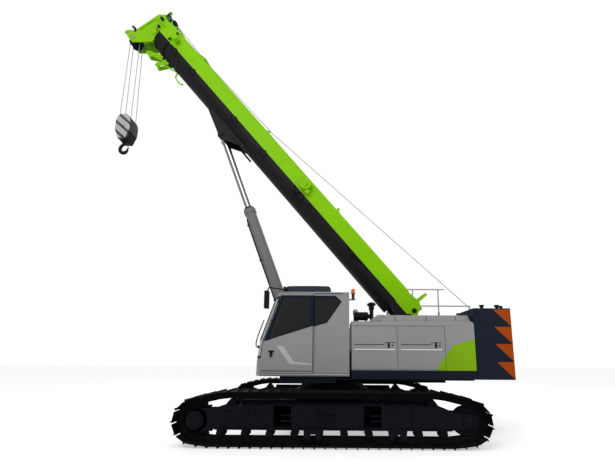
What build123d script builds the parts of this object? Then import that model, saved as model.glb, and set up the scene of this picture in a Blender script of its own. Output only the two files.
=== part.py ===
"""Telescopic-boom crawler crane on extendable crawlers, stored with its boom at 50 degrees.

Frame, in millimetres: the origin is on the ground under the slewing axis, +X is the front
of the machine, +Y its left-hand (cab) side and +Z up.
"""
import math
import os

from build123d import *

os.makedirs("parts", exist_ok=True)

# ---------------------------------------------------------------- driving dimensions
seat_gap = 0.3                   # between pieces that sit on one another
run_gap = 0.5                    # between guided faces that slide or turn
clear_gap = 8.0                  # between pieces that move past one another

# crawlers
gauge = 4000.0                   # between the two track centres, crawlers run out
shoe_width = 600.0
shoe_count = 63
plate_thickness = 12.0
grouser_height = 28.0
plate_seat = 55.0                # from the pin line out to the shoe plates
rail_depth = 65.0                # from the pin line in to the rail's running face
rail_inner = 55.0                # half the gap between the two chain rails
rail_width = 36.0
wheel_reach = 2470.0             # sprocket and idler, from the slewing axis
wheel_height = 455.0
wheel_pitch_radius = 322.0
carrier_reach = 1840.0
carrier_radius = 55.0
track_height = 995.0
roller_reach = 2030.0            # outermost bottom rollers
roller_count = 10
roller_radius = 60.0
roller_flange = 12.0
roller_gap = 0.8
bend_lead = 130.0                # the chain stays straight this far past the last roller
frame_width = 340.0
frame_bottom = 300.0
frame_top = 715.0
frame_front = 2110.0
frame_rear = 2150.0
cheek_thickness = 30.0

# beams that run in and out of the car body
beam_xs = (900.0, -740.0)
beam_length_x = 360.0
beam_height = 410.0
beam_wall = 16.0
beam_centre_z = 530.0
beam_end = 680.0                 # inner end, from the centre plane
socket_wall = 25.0
socket_end = 980.0

# car body and slewing ring
body_half_length = 860.0
body_half_width = 800.0
body_bottom = 300.0
body_top = 860.0
ring_radius = 740.0
ring_bore = 580.0
ring_bottom = 920.0
ring_height = 110.0

# turntable
table_thickness = 100.0
table_front = 1050.0
table_half_width = 430.0
cheek_y = 400.0                  # inner face of the boom's side plates
plate_y = 30.0                   # thickness of the boom's side plates
boom_pivot = (-1800.0, 2450.0)
boom_angle = 50.0
tail_end = -3780.0
tail_bottom = 1750.0
tail_top = 2150.0
sill_bottom = 1160.0
sill_height = 177.0
upper_half_width = 1480.0

# machinery houses
hood_front = -400.0
hood_rear = -2930.0
hood_top = 2340.0
hood_inner_y = 500.0
hood_wall = 40.0
hood_chamfer = 60.0
door_splits = (-405.0, -1350.0, -2330.0)
door_gap = 8.0
cowl_height = 140.0

# counterweight
weight_front = -2942.0
weight_corner = -3705.0
weight_rear = -3985.0
weight_half_width = 1480.0
weight_top = 2617.0
pocket_half_width = 470.0
pocket_rear = -3850.0

# cab
cab_front = 1480.0
cab_belt = 1420.0
cab_rear = -354.0
cab_bottom = 1205.0
cab_top = 2952.0
cab_inner_y = 560.0
cab_face_y = 1449.0
cab_wall = 50.0
cab_bulge = 150.0                # how far the windscreen bows out ahead of the pillars
glass = 6.0
sill_z = 1560.0                  # bottom of the windscreen
brow_z = 2860.0                  # top of the windscreen
door_thickness = 45.0
door_stand = 6.0                 # the door slides this far outside the cab's side
door_split_x = 400.0
door_travel = 560.0

# boom, in its own frame: u along the boom from the pivot, v square to it
boom_half_width = 330.0
boom_top_v = 535.0
boom_bottom_v = -240.0
boom_corner = 100.0
boom_wall = 12.0
section_step = 35.0              # from one section's outside to the next one's
base_end = 10190.0
collar_length = 120.0
collar_lip = 22.0
section_travel = 7600.0
head_front = 11160.0
sheave_pin = (11020.0, -567.0)
sheave_pitch_radius = 135.0
sheave_spacing = 150.0
top_sheave = (10850.0, 573.0)
jib_pin = (11260.0, -600.0)
jib_pin_radius = 25.0
rod_eye = (6946.0, -443.0)
rod_eye_width = 180.0
eye_plate_y = 175.0              # middle of each plate of the rod-eye bracket
eye_plate = 30.0

# luffing cylinder
cylinder_foot = (700.0, 1450.0)
barrel_radius = 140.0
rod_radius = 85.0
barrel_end = 4227.0              # from the foot pin
piston_place = 2340.0
piston_length = 130.0

# hook
block_axis_z = 7750.0
block_turn = 45.0
block_pitch_radius = 190.0
block_spacing = 200.0
rope_radius = 8.0

# winch
winch_axis = (-3520.0, 2420.0)
drum_radius = 200.0
drum_flange_radius = 250.0
drum_half_length = 340.0

SIDES = (("left", 1), ("right", -1))


# ---------------------------------------------------------------- shared geometry
def upright(y):
    """The plane of a side view at one Y: local x is X, local y is Z, its normal is -Y."""
    return Plane(origin=(0, y, 0), x_dir=(1, 0, 0), z_dir=(0, -1, 0))


def boom_point(u, v, y=0.0):
    """A point of the boom's frame in the machine's frame."""
    tilt = math.radians(boom_angle)
    x = boom_pivot[0] + u * math.cos(tilt) - v * math.sin(tilt)
    z = boom_pivot[1] + u * math.sin(tilt) + v * math.cos(tilt)
    return (x, y, z)


def boom_side(y=0.0):
    """The side-view plane of the boom at one Y: local x is u, local y is v."""
    tilt = math.radians(boom_angle)
    along = (math.cos(tilt), 0, math.sin(tilt))
    return Plane(origin=boom_point(0, 0, y), x_dir=along, z_dir=(0, -1, 0))


def boom_cross(u):
    """The plane square to the boom at one u: local x is Y, local y is v."""
    tilt = math.radians(boom_angle)
    along = (math.cos(tilt), 0, math.sin(tilt))
    return Plane(origin=boom_point(u, 0), x_dir=(0, 1, 0), z_dir=along)


def belt_run(circles):
    """Lines and arcs of a belt laid round circles (x, z, r) listed anticlockwise."""
    tangents = []
    for i, (x1, z1, r1) in enumerate(circles):
        x2, z2, r2 = circles[(i + 1) % len(circles)]
        distance = math.hypot(x2 - x1, z2 - z1)
        ex, ez = (x2 - x1) / distance, (z2 - z1) / distance
        lean = (r1 - r2) / distance
        side = math.sqrt(1 - lean * lean)
        nx, nz = ex * lean + ez * side, ez * lean - ex * side
        tangents.append((nx, nz, distance * side))
    runs = []
    for i, (x, z, r) in enumerate(circles):
        before = tangents[i - 1]
        after = tangents[i]
        start = math.atan2(before[1], before[0])
        sweep = (math.atan2(after[1], after[0]) - start) % (2 * math.pi)
        runs.append(("arc", r * sweep, (x, z, r, start)))
        runs.append(("line", after[2], (x + r * after[0], z + r * after[1], after[0], after[1])))
    return runs


def belt_point(runs, distance):
    """The point (x, z) at a distance along a belt."""
    for kind, length, data in runs:
        if distance <= length:
            if kind == "arc":
                x, z, r, start = data
                angle = start + distance / r
                return (x + r * math.cos(angle), z + r * math.sin(angle))
            x, z, nx, nz = data
            return (x - nz * distance, z + nx * distance)
        distance -= length
    return belt_point(runs, 0.0)


def chain_pins():
    """The chain's pins, evenly spaced round sprocket, rollers, idler and carriers."""
    low = plate_seat + plate_thickness + grouser_height
    corner = rail_depth + roller_radius
    top_corner = rail_depth + carrier_radius
    circles = (
        (-roller_reach - bend_lead, low + corner, corner),
        (roller_reach + bend_lead, low + corner, corner),
        (wheel_reach, wheel_height, wheel_pitch_radius),
        (carrier_reach + bend_lead, track_height - low - top_corner, top_corner),
        (-carrier_reach - bend_lead, track_height - low - top_corner, top_corner),
        (-wheel_reach, wheel_height, wheel_pitch_radius),
    )
    runs = belt_run(circles)
    total = sum(run[1] for run in runs)
    return [belt_point(runs, total * i / shoe_count) for i in range(shoe_count)]


PINS = chain_pins()


def shoe_frames():
    """Middle, direction and outward normal of each link."""
    frames = []
    for i, (x1, z1) in enumerate(PINS):
        x2, z2 = PINS[(i + 1) % shoe_count]
        length = math.hypot(x2 - x1, z2 - z1)
        dx, dz = (x2 - x1) / length, (z2 - z1) / length
        frames.append(((x1 + x2) / 2, (z1 + z2) / 2, dx, dz, length))
    return frames


def shoe_outline():
    """The outer line of the shoes: each plate with its grouser on its leading edge."""
    half = SHOES[0][4] / 2 - 3
    skin = plate_seat + 3
    face = plate_seat + plate_thickness
    tip = face + grouser_height
    profile = ((-half, skin), (-half, tip), (-half + 12, tip), (-half + 30, face), (half, face), (half, skin))
    points = []
    for x, z, dx, dz, _ in SHOES:
        points += [(x + t * dx + h * dz, z + t * dz - h * dx) for t, h in profile]
    return points


def chain_line(height):
    """A closed line at one height outside the links' pin line, mitred at the pins."""
    points = []
    for i in range(shoe_count):
        _, _, ax, az, _ = SHOES[i - 1]
        _, _, bx, bz, _ = SHOES[i]
        mx, mz = ax + bx, az + bz
        scale = 2 * height / (mx * mx + mz * mz)
        points.append((PINS[i][0] + mz * scale, PINS[i][1] - mx * scale))
    return points


SHOES = shoe_frames()
rail_outer = rail_inner + rail_width
link_pitch = max(frame[4] for frame in SHOES)
wheel_turn = link_pitch / wheel_pitch_radius / 2
idler_tread = wheel_pitch_radius * math.cos(wheel_turn) - rail_depth - seat_gap

# ---------------------------------------------------------------- crawlers
for side, sign in SIDES:
    mid = sign * gauge / 2

    # shoe plates and grousers in one belt, with the two chain rails under it
    with BuildPart() as track:
        with BuildSketch(upright(mid)):
            with BuildLine():
                Polyline(*shoe_outline(), close=True)
            make_face()
            with BuildLine():
                Polyline(*chain_line(plate_seat), close=True)
            make_face(mode=Mode.SUBTRACT)
        extrude(amount=shoe_width / 2, both=True)
        for hand in (-1, 1):
            with BuildSketch(upright(mid + hand * (rail_inner + rail_width / 2))):
                with BuildLine():
                    Polyline(*chain_line(plate_seat + 1), close=True)
                make_face()
                with BuildLine():
                    Polyline(*chain_line(-rail_depth), close=True)
                make_face(mode=Mode.SUBTRACT)
            extrude(amount=rail_width / 2, both=True)
    track.part.label = f"track_{side}"
    export_step(track.part, f"parts/track_{side}.step")

    # side frame: box with a sloping rear, bottom flange, end cheeks and the two beams
    with BuildPart() as track_frame:
        with BuildSketch(upright(mid)):
            with BuildLine():
                Polyline(
                    (frame_front, frame_bottom),
                    (frame_front, frame_top - 40),
                    (carrier_reach + 130, frame_top),
                    (-carrier_reach - 130, frame_top),
                    (-frame_rear, frame_top - 70),
                    (-frame_rear, frame_bottom),
                    close=True,
                )
            make_face()
        extrude(amount=frame_width / 2, both=True)
        # bottom flange
        with BuildSketch(upright(mid)):
            with Locations(((frame_front - frame_rear) / 2, frame_bottom + 10)):
                Rectangle(frame_front + frame_rear, 20)
        extrude(amount=frame_width / 2 + 40, both=True)
        # idler cheeks on both sides
        for hand in (-1, 1):
            with BuildSketch(upright(mid + hand * (frame_width - cheek_thickness) / 2)):
                with BuildLine():
                    Polyline(
                        (-frame_rear + 20, frame_top - 90),
                        (-wheel_reach - 120, frame_top - 130),
                        (-wheel_reach - 160, wheel_height + 60),
                        (-wheel_reach - 160, wheel_height - 60),
                        (-wheel_reach - 100, frame_bottom + 50),
                        (-frame_rear + 20, frame_bottom),
                        close=True,
                    )
                make_face()
            extrude(amount=cheek_thickness / 2, both=True)
        # drive bracket on the inner side
        with BuildSketch(upright(mid - sign * (frame_width - cheek_thickness) / 2)):
            with BuildLine():
                Polyline(
                    (frame_front - 20, frame_bottom + 20),
                    (frame_front - 20, frame_top - 60),
                    (wheel_reach, wheel_height + 190),
                    (wheel_reach, wheel_height - 190),
                    close=True,
                )
            make_face()
            with Locations((wheel_reach, wheel_height)):
                Circle(190)
        extrude(amount=cheek_thickness / 2, both=True)
        # guards that keep the track under the bottom rollers, and the foot step between them
        for guard_x in (335.0, -1180.0):
            with BuildSketch(upright(mid + sign * (frame_width / 2 + 20))):
                with BuildLine():
                    Polyline(
                        (guard_x - 175, frame_bottom + 10),
                        (guard_x - 150, frame_bottom - 160),
                        (guard_x - 60, frame_bottom - 160),
                        (guard_x - 40, frame_bottom - 70),
                        (guard_x + 40, frame_bottom - 70),
                        (guard_x + 60, frame_bottom - 160),
                        (guard_x + 150, frame_bottom - 160),
                        (guard_x + 175, frame_bottom + 10),
                        close=True,
                    )
                make_face()
            extrude(amount=10, both=True)
        step_y = mid + sign * frame_width / 2
        with BuildSketch(upright(step_y)):
            with Locations((110, 535)):
                Rectangle(340, 30)
        extrude(amount=-sign * 110)
        with BuildSketch(upright(step_y)):
            with BuildLine():
                Line((-40, 540), (260, 540))
                ThreePointArc((260, 540), (110, 690), (-40, 540))
            make_face()
        extrude(amount=-sign * 14)
        with BuildSketch(upright(step_y)):
            with Locations((1755, 560)):
                Rectangle(470, 90)
        extrude(amount=-sign * 22)
        # beams, square tubes open at both ends
        beam_mid = (beam_end + (gauge + frame_width) / 2) / 2
        beam_half = (gauge + frame_width) / 2 - beam_mid
        for beam_x in beam_xs:
            with BuildSketch(upright(sign * beam_mid)):
                with Locations((beam_x, beam_centre_z)):
                    Rectangle(beam_length_x, beam_height)
            extrude(amount=beam_half, both=True)
        for beam_x in beam_xs:
            with BuildSketch(upright(sign * beam_mid)):
                with Locations((beam_x, beam_centre_z)):
                    Rectangle(beam_length_x - 2 * beam_wall, beam_height - 2 * beam_wall)
            extrude(amount=beam_half + 1, both=True, mode=Mode.SUBTRACT)
        # rungs across the open ends of the beams
        for beam_x in beam_xs:
            for rung_z in (445, 541):
                with BuildSketch(upright(mid + sign * (frame_width / 2 - 60))):
                    with Locations((beam_x - 75, rung_z)):
                        Rectangle(210, 26)
                extrude(amount=14, both=True)
    track_frame.part.label = f"track_frame_{side}"
    export_step(track_frame.part, f"parts/track_frame_{side}.step")

    # sprocket with its final drive, which stands out on the outer side
    tooth_count = 21
    tooth_radius = wheel_pitch_radius + 12
    root_radius = wheel_pitch_radius - 26
    with BuildPart() as sprocket:
        with BuildSketch(upright(mid)):
            with BuildLine():
                tooth_points = []
                for i in range(tooth_count):
                    for share, radius in ((0.0, root_radius), (0.35, root_radius), (0.55, tooth_radius), (0.8, tooth_radius)):
                        angle = 2 * math.pi * (i + share) / tooth_count
                        tooth_points.append(
                            (wheel_reach + radius * math.cos(angle), wheel_height + radius * math.sin(angle))
                        )
                Polyline(*tooth_points, close=True)
            make_face()
        extrude(amount=rail_inner - clear_gap, both=True)
        drive_profile = (
            (0, -frame_width / 2 + cheek_thickness + seat_gap),
            (190, -frame_width / 2 + cheek_thickness + seat_gap),
            (190, 40),
            (200, 60),
            (200, 120),
            (165, 120),
            (165, 215),
            (150, 245),
            (0, 245),
        )
        with BuildSketch(Plane(origin=(wheel_reach, mid, wheel_height), x_dir=(1, 0, 0), z_dir=(0, 0, 1))):
            with BuildLine():
                Polyline(*[(r, sign * y) for r, y in drive_profile], close=True)
            make_face()
        revolve(axis=Axis((wheel_reach, mid, wheel_height), (0, 1, 0)))
    sprocket.part.label = f"sprocket_{side}"
    export_step(sprocket.part, f"parts/sprocket_{side}.step")

    # idler on its axle between the cheeks
    with BuildPart() as idler:
        half_axle = frame_width / 2 - cheek_thickness - seat_gap
        with BuildSketch(Plane(origin=(-wheel_reach, mid, wheel_height), x_dir=(1, 0, 0), z_dir=(0, 0, 1))):
            with BuildLine():
                Polyline(
                    (0, -half_axle),
                    (60, -half_axle),
                    (60, -rail_outer),
                    (idler_tread, -rail_outer),
                    (idler_tread, -rail_inner + 6),
                    (idler_tread + 30, -rail_inner + 12),
                    (idler_tread + 30, rail_inner - 12),
                    (idler_tread, rail_inner - 6),
                    (idler_tread, rail_outer),
                    (60, rail_outer),
                    (60, half_axle),
                    (0, half_axle),
                    close=True,
                )
            make_face()
        revolve(axis=Axis((-wheel_reach, mid, wheel_height), (0, 1, 0)))
    idler.part.label = f"idler_{side}"
    export_step(idler.part, f"parts/idler_{side}.step")

    # bottom rollers, each with its shaft and the two collars that bolt under the frame
    roller_z = plate_seat + plate_thickness + grouser_height + rail_depth + roller_radius + roller_gap
    with BuildPart() as rollers:
        for i in range(roller_count):
            x = roller_reach - 2 * roller_reach * i / (roller_count - 1)
            with BuildSketch(Plane(origin=(x, mid, roller_z), x_dir=(1, 0, 0), z_dir=(0, 0, 1))):
                with BuildLine():
                    Polyline(
                        (0, -rail_outer - 45),
                        (28, -rail_outer - 45),
                        (28, -rail_outer - 22),
                        (roller_radius + roller_flange, -rail_outer - 22),
                        (roller_radius + roller_flange, -rail_outer - 4),
                        (roller_radius, -rail_outer - 2),
                        (roller_radius, -rail_inner + 8),
                        (roller_radius - 18, -rail_inner + 8),
                        (roller_radius - 18, rail_inner - 8),
                        (roller_radius, rail_inner - 8),
                        (roller_radius, rail_outer + 2),
                        (roller_radius + roller_flange, rail_outer + 4),
                        (roller_radius + roller_flange, rail_outer + 22),
                        (28, rail_outer + 22),
                        (28, rail_outer + 45),
                        (0, rail_outer + 45),
                        close=True,
                    )
                make_face()
            revolve(axis=Axis((x, mid, roller_z), (0, 1, 0)))
            for hand in (-1, 1):
                with BuildSketch(upright(mid + hand * (rail_outer + 38))):
                    with Locations((x, (roller_z - 35 + frame_bottom - seat_gap) / 2)):
                        Rectangle(110, frame_bottom - seat_gap - roller_z + 35)
                extrude(amount=14, both=True)
    rollers.part.label = f"bottom_rollers_{side}"
    export_step(rollers.part, f"parts/bottom_rollers_{side}.step")

    # carrier rollers on two brackets over the frame
    carrier_z = track_height - (plate_seat + plate_thickness + grouser_height) - rail_depth - carrier_radius - roller_gap
    with BuildPart() as carriers:
        for x in (carrier_reach, -carrier_reach):
            with BuildSketch(Plane(origin=(x, mid, carrier_z), x_dir=(1, 0, 0), z_dir=(0, 0, 1))):
                with BuildLine():
                    Polyline(
                        (0, -rail_outer - 30),
                        (22, -rail_outer - 30),
                        (22, -rail_outer - 4),
                        (carrier_radius, -rail_outer - 4),
                        (carrier_radius, rail_outer + 4),
                        (22, rail_outer + 4),
                        (22, rail_outer + 30),
                        (0, rail_outer + 30),
                        close=True,
                    )
                make_face()
            revolve(axis=Axis((x, mid, carrier_z), (0, 1, 0)))
            for hand in (-1, 1):
                with BuildSketch(upright(mid + hand * (rail_outer + 20))):
                    with BuildLine():
                        Polyline(
                            (x - 115, frame_top + seat_gap),
                            (x - 45, carrier_z + 30),
                            (x + 45, carrier_z + 30),
                            (x + 115, frame_top + seat_gap),
                            close=True,
                        )
                    make_face()
                extrude(amount=12, both=True)
    carriers.part.label = f"carrier_rollers_{side}"
    export_step(carriers.part, f"parts/carrier_rollers_{side}.step")

# ---------------------------------------------------------------- car body and slewing ring
with BuildPart() as carbody:
    with BuildSketch(Plane.XY.offset(body_bottom)):
        with BuildLine():
            Polyline(
                (body_half_length, -body_half_width + 200),
                (body_half_length, body_half_width - 200),
                (body_half_length - 200, body_half_width),
                (-body_half_length + 200, body_half_width),
                (-body_half_length, body_half_width - 200),
                (-body_half_length, -body_half_width + 200),
                (-body_half_length + 200, -body_half_width),
                (body_half_length - 200, -body_half_width),
                close=True,
            )
        make_face()
    extrude(amount=body_top - body_bottom)
    with BuildSketch(Plane.XY.offset(body_top)):
        Circle(ring_radius + 40)
    extrude(amount=ring_bottom - body_top)
    tunnel_x = beam_length_x + 2 * clear_gap
    tunnel_z = beam_height + 2 * clear_gap
    for beam_x in beam_xs:
        with BuildSketch(upright(0)):
            with Locations((beam_x, beam_centre_z)):
                Rectangle(tunnel_x + 2 * socket_wall, tunnel_z + 2 * socket_wall)
        extrude(amount=socket_end, both=True)
    for beam_x in beam_xs:
        with BuildSketch(upright(0)):
            with Locations((beam_x, beam_centre_z)):
                Rectangle(tunnel_x, tunnel_z)
        extrude(amount=socket_end + 1, both=True, mode=Mode.SUBTRACT)
    # wear pads that the beams slide on, at the mouth of each socket
    for beam_x in beam_xs:
        for end in (-1, 1):
            for face in (-1, 1):
                pad_z = beam_centre_z + face * (beam_height / 2 + run_gap + (clear_gap - run_gap) / 2)
                with BuildSketch(upright(end * (socket_end - 80))):
                    with Locations((beam_x, pad_z)):
                        Rectangle(beam_length_x - 60, clear_gap - run_gap)
                extrude(amount=60, both=True)
    with BuildSketch(Plane.XY.offset(body_bottom)):
        Circle(ring_bore - 200)
    extrude(amount=ring_bottom - body_bottom, mode=Mode.SUBTRACT)
carbody.part.label = "carbody"
export_step(carbody.part, "parts/carbody.step")

ring_top = ring_bottom + seat_gap + ring_height
with BuildPart() as slew_ring:
    with BuildSketch(Plane.XY.offset(ring_bottom + seat_gap)):
        Circle(ring_radius)
        Circle(ring_bore, mode=Mode.SUBTRACT)
    extrude(amount=ring_height)
slew_ring.part.label = "slew_ring"
export_step(slew_ring.part, "parts/slew_ring.step")

# ---------------------------------------------------------------- turntable
table_bottom = ring_top + run_gap
table_top = table_bottom + table_thickness
ear_radius = 170.0
foot_ear_radius = 130.0
with BuildPart() as turntable:
    with BuildSketch(Plane.XY.offset(table_bottom)):
        with Locations(((table_front - 2600) / 2, 0)):
            Rectangle(table_front + 2600, 2 * table_half_width)
    extrude(amount=table_thickness)
    with BuildSketch(Plane.XY.offset(table_bottom)):
        Circle(ring_radius + 20)
    extrude(amount=40)
    for hand in (-1, 1):
        with BuildSketch(upright(hand * (cheek_y + plate_y / 2))):
            with BuildLine():
                Polyline(
                    (table_front, table_top - 20),
                    (table_front, 1330),
                    (300, 1500),
                    (boom_pivot[0] + 330, boom_pivot[1] - 300),
                    (boom_pivot[0] + ear_radius * 0.7, boom_pivot[1] + ear_radius * 0.7),
                    (boom_pivot[0] - ear_radius * 0.7, boom_pivot[1] + ear_radius * 0.7),
                    (boom_pivot[0] - 400, tail_top),
                    (tail_end, tail_top),
                    (tail_end, tail_bottom),
                    (-2600, tail_bottom),
                    (-2600, table_top - 20),
                    close=True,
                )
            make_face()
            with Locations(boom_pivot):
                Circle(ear_radius)
            with Locations(boom_pivot):
                Circle(75 + run_gap, mode=Mode.SUBTRACT)
        extrude(amount=plate_y / 2, both=True)
    # cylinder foot ears
    for hand in (-1, 1):
        with BuildSketch(upright(hand * 120)):
            with BuildLine():
                Polyline(
                    (cylinder_foot[0] - 260, table_top - 20),
                    (cylinder_foot[0] - 110, cylinder_foot[1]),
                    (cylinder_foot[0] + 110, cylinder_foot[1]),
                    (cylinder_foot[0] + 200, table_top - 20),
                    close=True,
                )
            make_face()
            with Locations(cylinder_foot):
                Circle(foot_ear_radius)
            with Locations(cylinder_foot):
                Circle(60 + run_gap, mode=Mode.SUBTRACT)
        extrude(amount=20, both=True)
    # tail tie between the side plates under the winch
    with BuildSketch(upright(0)):
        with Locations(((tail_end + weight_front) / 2, tail_bottom + 20)):
            Rectangle(weight_front - tail_end, 40)
    extrude(amount=cheek_y + plate_y / 2, both=True)
turntable.part.label = "turntable"
export_step(turntable.part, "parts/turntable.step")

with BuildPart() as boom_foot_pin:
    with BuildSketch(upright(0)):
        with Locations(boom_pivot):
            Circle(75)
    extrude(amount=cheek_y + plate_y + 25, both=True)
boom_foot_pin.part.label = "boom_foot_pin"
export_step(boom_foot_pin.part, "parts/boom_foot_pin.step")

with BuildPart() as cylinder_foot_pin:
    with BuildSketch(upright(0)):
        with Locations(cylinder_foot):
            Circle(60)
    extrude(amount=155, both=True)
cylinder_foot_pin.part.label = "cylinder_foot_pin"
export_step(cylinder_foot_pin.part, "parts/cylinder_foot_pin.step")

# deck: sills under the machinery houses and the bearers under the cab
with BuildPart() as deck:
    for sign in (1, -1):
        low = table_half_width + seat_gap
        with BuildSketch(Plane.XY.offset(sill_bottom)):
            with Locations(((hood_front + hood_rear) / 2, sign * (low + upper_half_width) / 2)):
                Rectangle(hood_front - hood_rear, upper_half_width - low)
        extrude(amount=sill_height)
    with BuildSketch(Plane.XY.offset(table_bottom + 40 + seat_gap)):
        for x in (0, 1000):
            with Locations((x, (table_half_width + seat_gap + 1380) / 2)):
                Rectangle(160, 1380 - table_half_width - seat_gap)
        with Locations((500, 1320)):
            Rectangle(1160, 120)
    extrude(amount=cab_bottom - 2 * seat_gap - table_bottom - 40)
deck.part.label = "deck"
export_step(deck.part, "parts/deck.step")

# ---------------------------------------------------------------- machinery houses
house_bottom = sill_bottom + sill_height + seat_gap


def house_profile(inset):
    """Cross-section of the left house, (y, z), with its outer top edge bevelled."""
    return (
        (hood_inner_y + inset, house_bottom + inset),
        (upper_half_width - inset, house_bottom + inset),
        (upper_half_width - inset, hood_top - hood_chamfer),
        (upper_half_width - hood_chamfer - inset * 0.4, hood_top - inset),
        (hood_inner_y + inset, hood_top - inset),
    )


section_plane = Plane(origin=(hood_rear, 0, 0), x_dir=(0, 1, 0), z_dir=(1, 0, 0))
door_top = hood_top - hood_chamfer - 40
door_bottom = house_bottom + 12
door_jamb = 12.0
with BuildPart() as hood_left:
    with BuildSketch(section_plane):
        with BuildLine():
            Polyline(*house_profile(0), close=True)
        make_face()
    extrude(amount=hood_front - hood_rear)
    with BuildSketch(section_plane.offset(hood_wall)):
        with BuildLine():
            Polyline(*house_profile(hood_wall), close=True)
        make_face()
    extrude(amount=hood_front - hood_rear - 2 * hood_wall, mode=Mode.SUBTRACT)
    for i in range(2):
        x1 = door_splits[i] - door_jamb
        x2 = door_splits[i + 1] + door_jamb / 2
        with BuildSketch(upright(upper_half_width)):
            with Locations(((x1 + x2) / 2, (door_bottom + door_top) / 2)):
                Rectangle(x1 - x2, door_top - door_bottom)
        extrude(amount=hood_wall + 1, both=True, mode=Mode.SUBTRACT)
    # cowl over the engine
    with BuildSketch(Plane.XY.offset(hood_top)):
        with Locations(((hood_rear - 1000) / 2, (hood_inner_y + 1380) / 2)):
            Rectangle(-hood_rear - 1000 - 40, 1380 - hood_inner_y)
    extrude(amount=cowl_height, taper=20)
hood_left.part.label = "hood_left"
export_step(hood_left.part, "parts/hood_left.step")

for i, name in enumerate(("front", "rear")):
    x1 = door_splits[i] - door_jamb - run_gap
    x2 = door_splits[i + 1] + door_jamb / 2 + door_gap
    z1 = door_bottom + door_gap
    z2 = door_top - door_gap
    with BuildPart() as hood_door:
        with BuildSketch(upright(upper_half_width - hood_wall / 2)):
            with Locations(((x1 + x2) / 2, (z1 + z2) / 2)):
                Rectangle(x1 - x2, z2 - z1)
        extrude(amount=hood_wall / 2, both=True)
    hood_door.part.label = f"hood_door_{name}"
    export_step(hood_door.part, f"parts/hood_door_{name}.step")

with BuildPart() as hood_right:
    with BuildSketch(section_plane):
        with BuildLine():
            Polyline(*[(-y, z) for y, z in house_profile(0)], close=True)
        make_face()
    extrude(amount=hood_front - hood_rear)
hood_right.part.label = "hood_right"
export_step(hood_right.part, "parts/hood_right.step")

with BuildPart() as engine:
    with BuildSketch(Plane.XY.offset(house_bottom + hood_wall + seat_gap)):
        with Locations((-1800, 960)):
            Rectangle(1300, 640)
    extrude(amount=780)
engine.part.label = "engine"
export_step(engine.part, "parts/engine.step")

# intake: pre-cleaner on its stem, elbow and the air filter lying beside it
intake_y = 900.0
with BuildPart() as air_intake:
    with BuildSketch(upright(intake_y)) as stem:
        with BuildLine():
            Polyline(
                (-880, hood_top + seat_gap),
                (-820, hood_top + seat_gap),
                (-820, hood_top + 20),
                (-840, hood_top + 20),
                (-840, 2640),
                (-822, 2660),
                (-822, 2735),
                (-785, 2752),
                (-785, 2785),
                (-830, 2814),
                (-880, 2818),
                close=True,
            )
        make_face()
    revolve(stem.sketch, axis=Axis((-880, intake_y, 0), (0, 0, 1)))
    with BuildSketch(upright(intake_y)) as can:
        with BuildLine():
            Polyline(
                (-860, 2500),
                (-860, 2545),
                (-800, 2550),
                (-790, 2595),
                (-520, 2595),
                (-510, 2585),
                (-490, 2585),
                (-480, 2560),
                (-480, 2500),
                close=True,
            )
        make_face()
    revolve(can.sketch, axis=Axis((0, intake_y, 2500), (1, 0, 0)))
    for cradle_x in (-740, -560):
        with BuildSketch(Plane.XY.offset(hood_top + seat_gap)):
            with Locations((cradle_x, intake_y)):
                Rectangle(30, 150)
        extrude(amount=2430 - hood_top)
air_intake.part.label = "air_intake"
export_step(air_intake.part, "parts/air_intake.step")

with BuildPart() as exhaust:
    with BuildSketch(upright(680)) as pipe:
        with BuildLine():
            Polyline(
                (-530, hood_top + seat_gap),
                (-460, hood_top + seat_gap),
                (-460, hood_top + 15),
                (-480, hood_top + 15),
                (-480, 2560),
                (-468, 2575),
                (-468, 2640),
                (-490, 2680),
                (-530, 2690),
                close=True,
            )
        make_face()
    revolve(pipe.sketch, axis=Axis((-530, 680, 0), (0, 0, 1)))
exhaust.part.label = "exhaust"
export_step(exhaust.part, "parts/exhaust.step")

# handrails along the right side
rail_y = -900.0
rail_radius = 17.0
rail_top = 3455.0
rail_mid = 2995.0
post_xs = (-1500.0, -2200.0, -2900.0)
with BuildPart() as handrails:
    for x in post_xs:
        with BuildSketch(Plane.XY.offset(hood_top + seat_gap)):
            with Locations((x, rail_y)):
                Circle(rail_radius)
        extrude(amount=rail_top - hood_top - seat_gap)
        with BuildSketch(Plane.XY.offset(hood_top + seat_gap)):
            with Locations((x, rail_y)):
                Circle(rail_radius + 12)
        extrude(amount=480)
    with BuildSketch(Plane.XY.offset(weight_top + seat_gap)):
        with Locations((-3740, rail_y)):
            Circle(rail_radius)
    extrude(amount=rail_mid - weight_top - seat_gap)
    for z, x1, x2 in ((rail_top, post_xs[0] + 40, -3080), (rail_mid, post_xs[0], -3760)):
        with BuildSketch(Plane(origin=(x1, rail_y, z), x_dir=(0, 1, 0), z_dir=(1, 0, 0))):
            Circle(rail_radius)
        extrude(amount=x2 - x1)
handrails.part.label = "handrails"
export_step(handrails.part, "parts/handrails.step")

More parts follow.
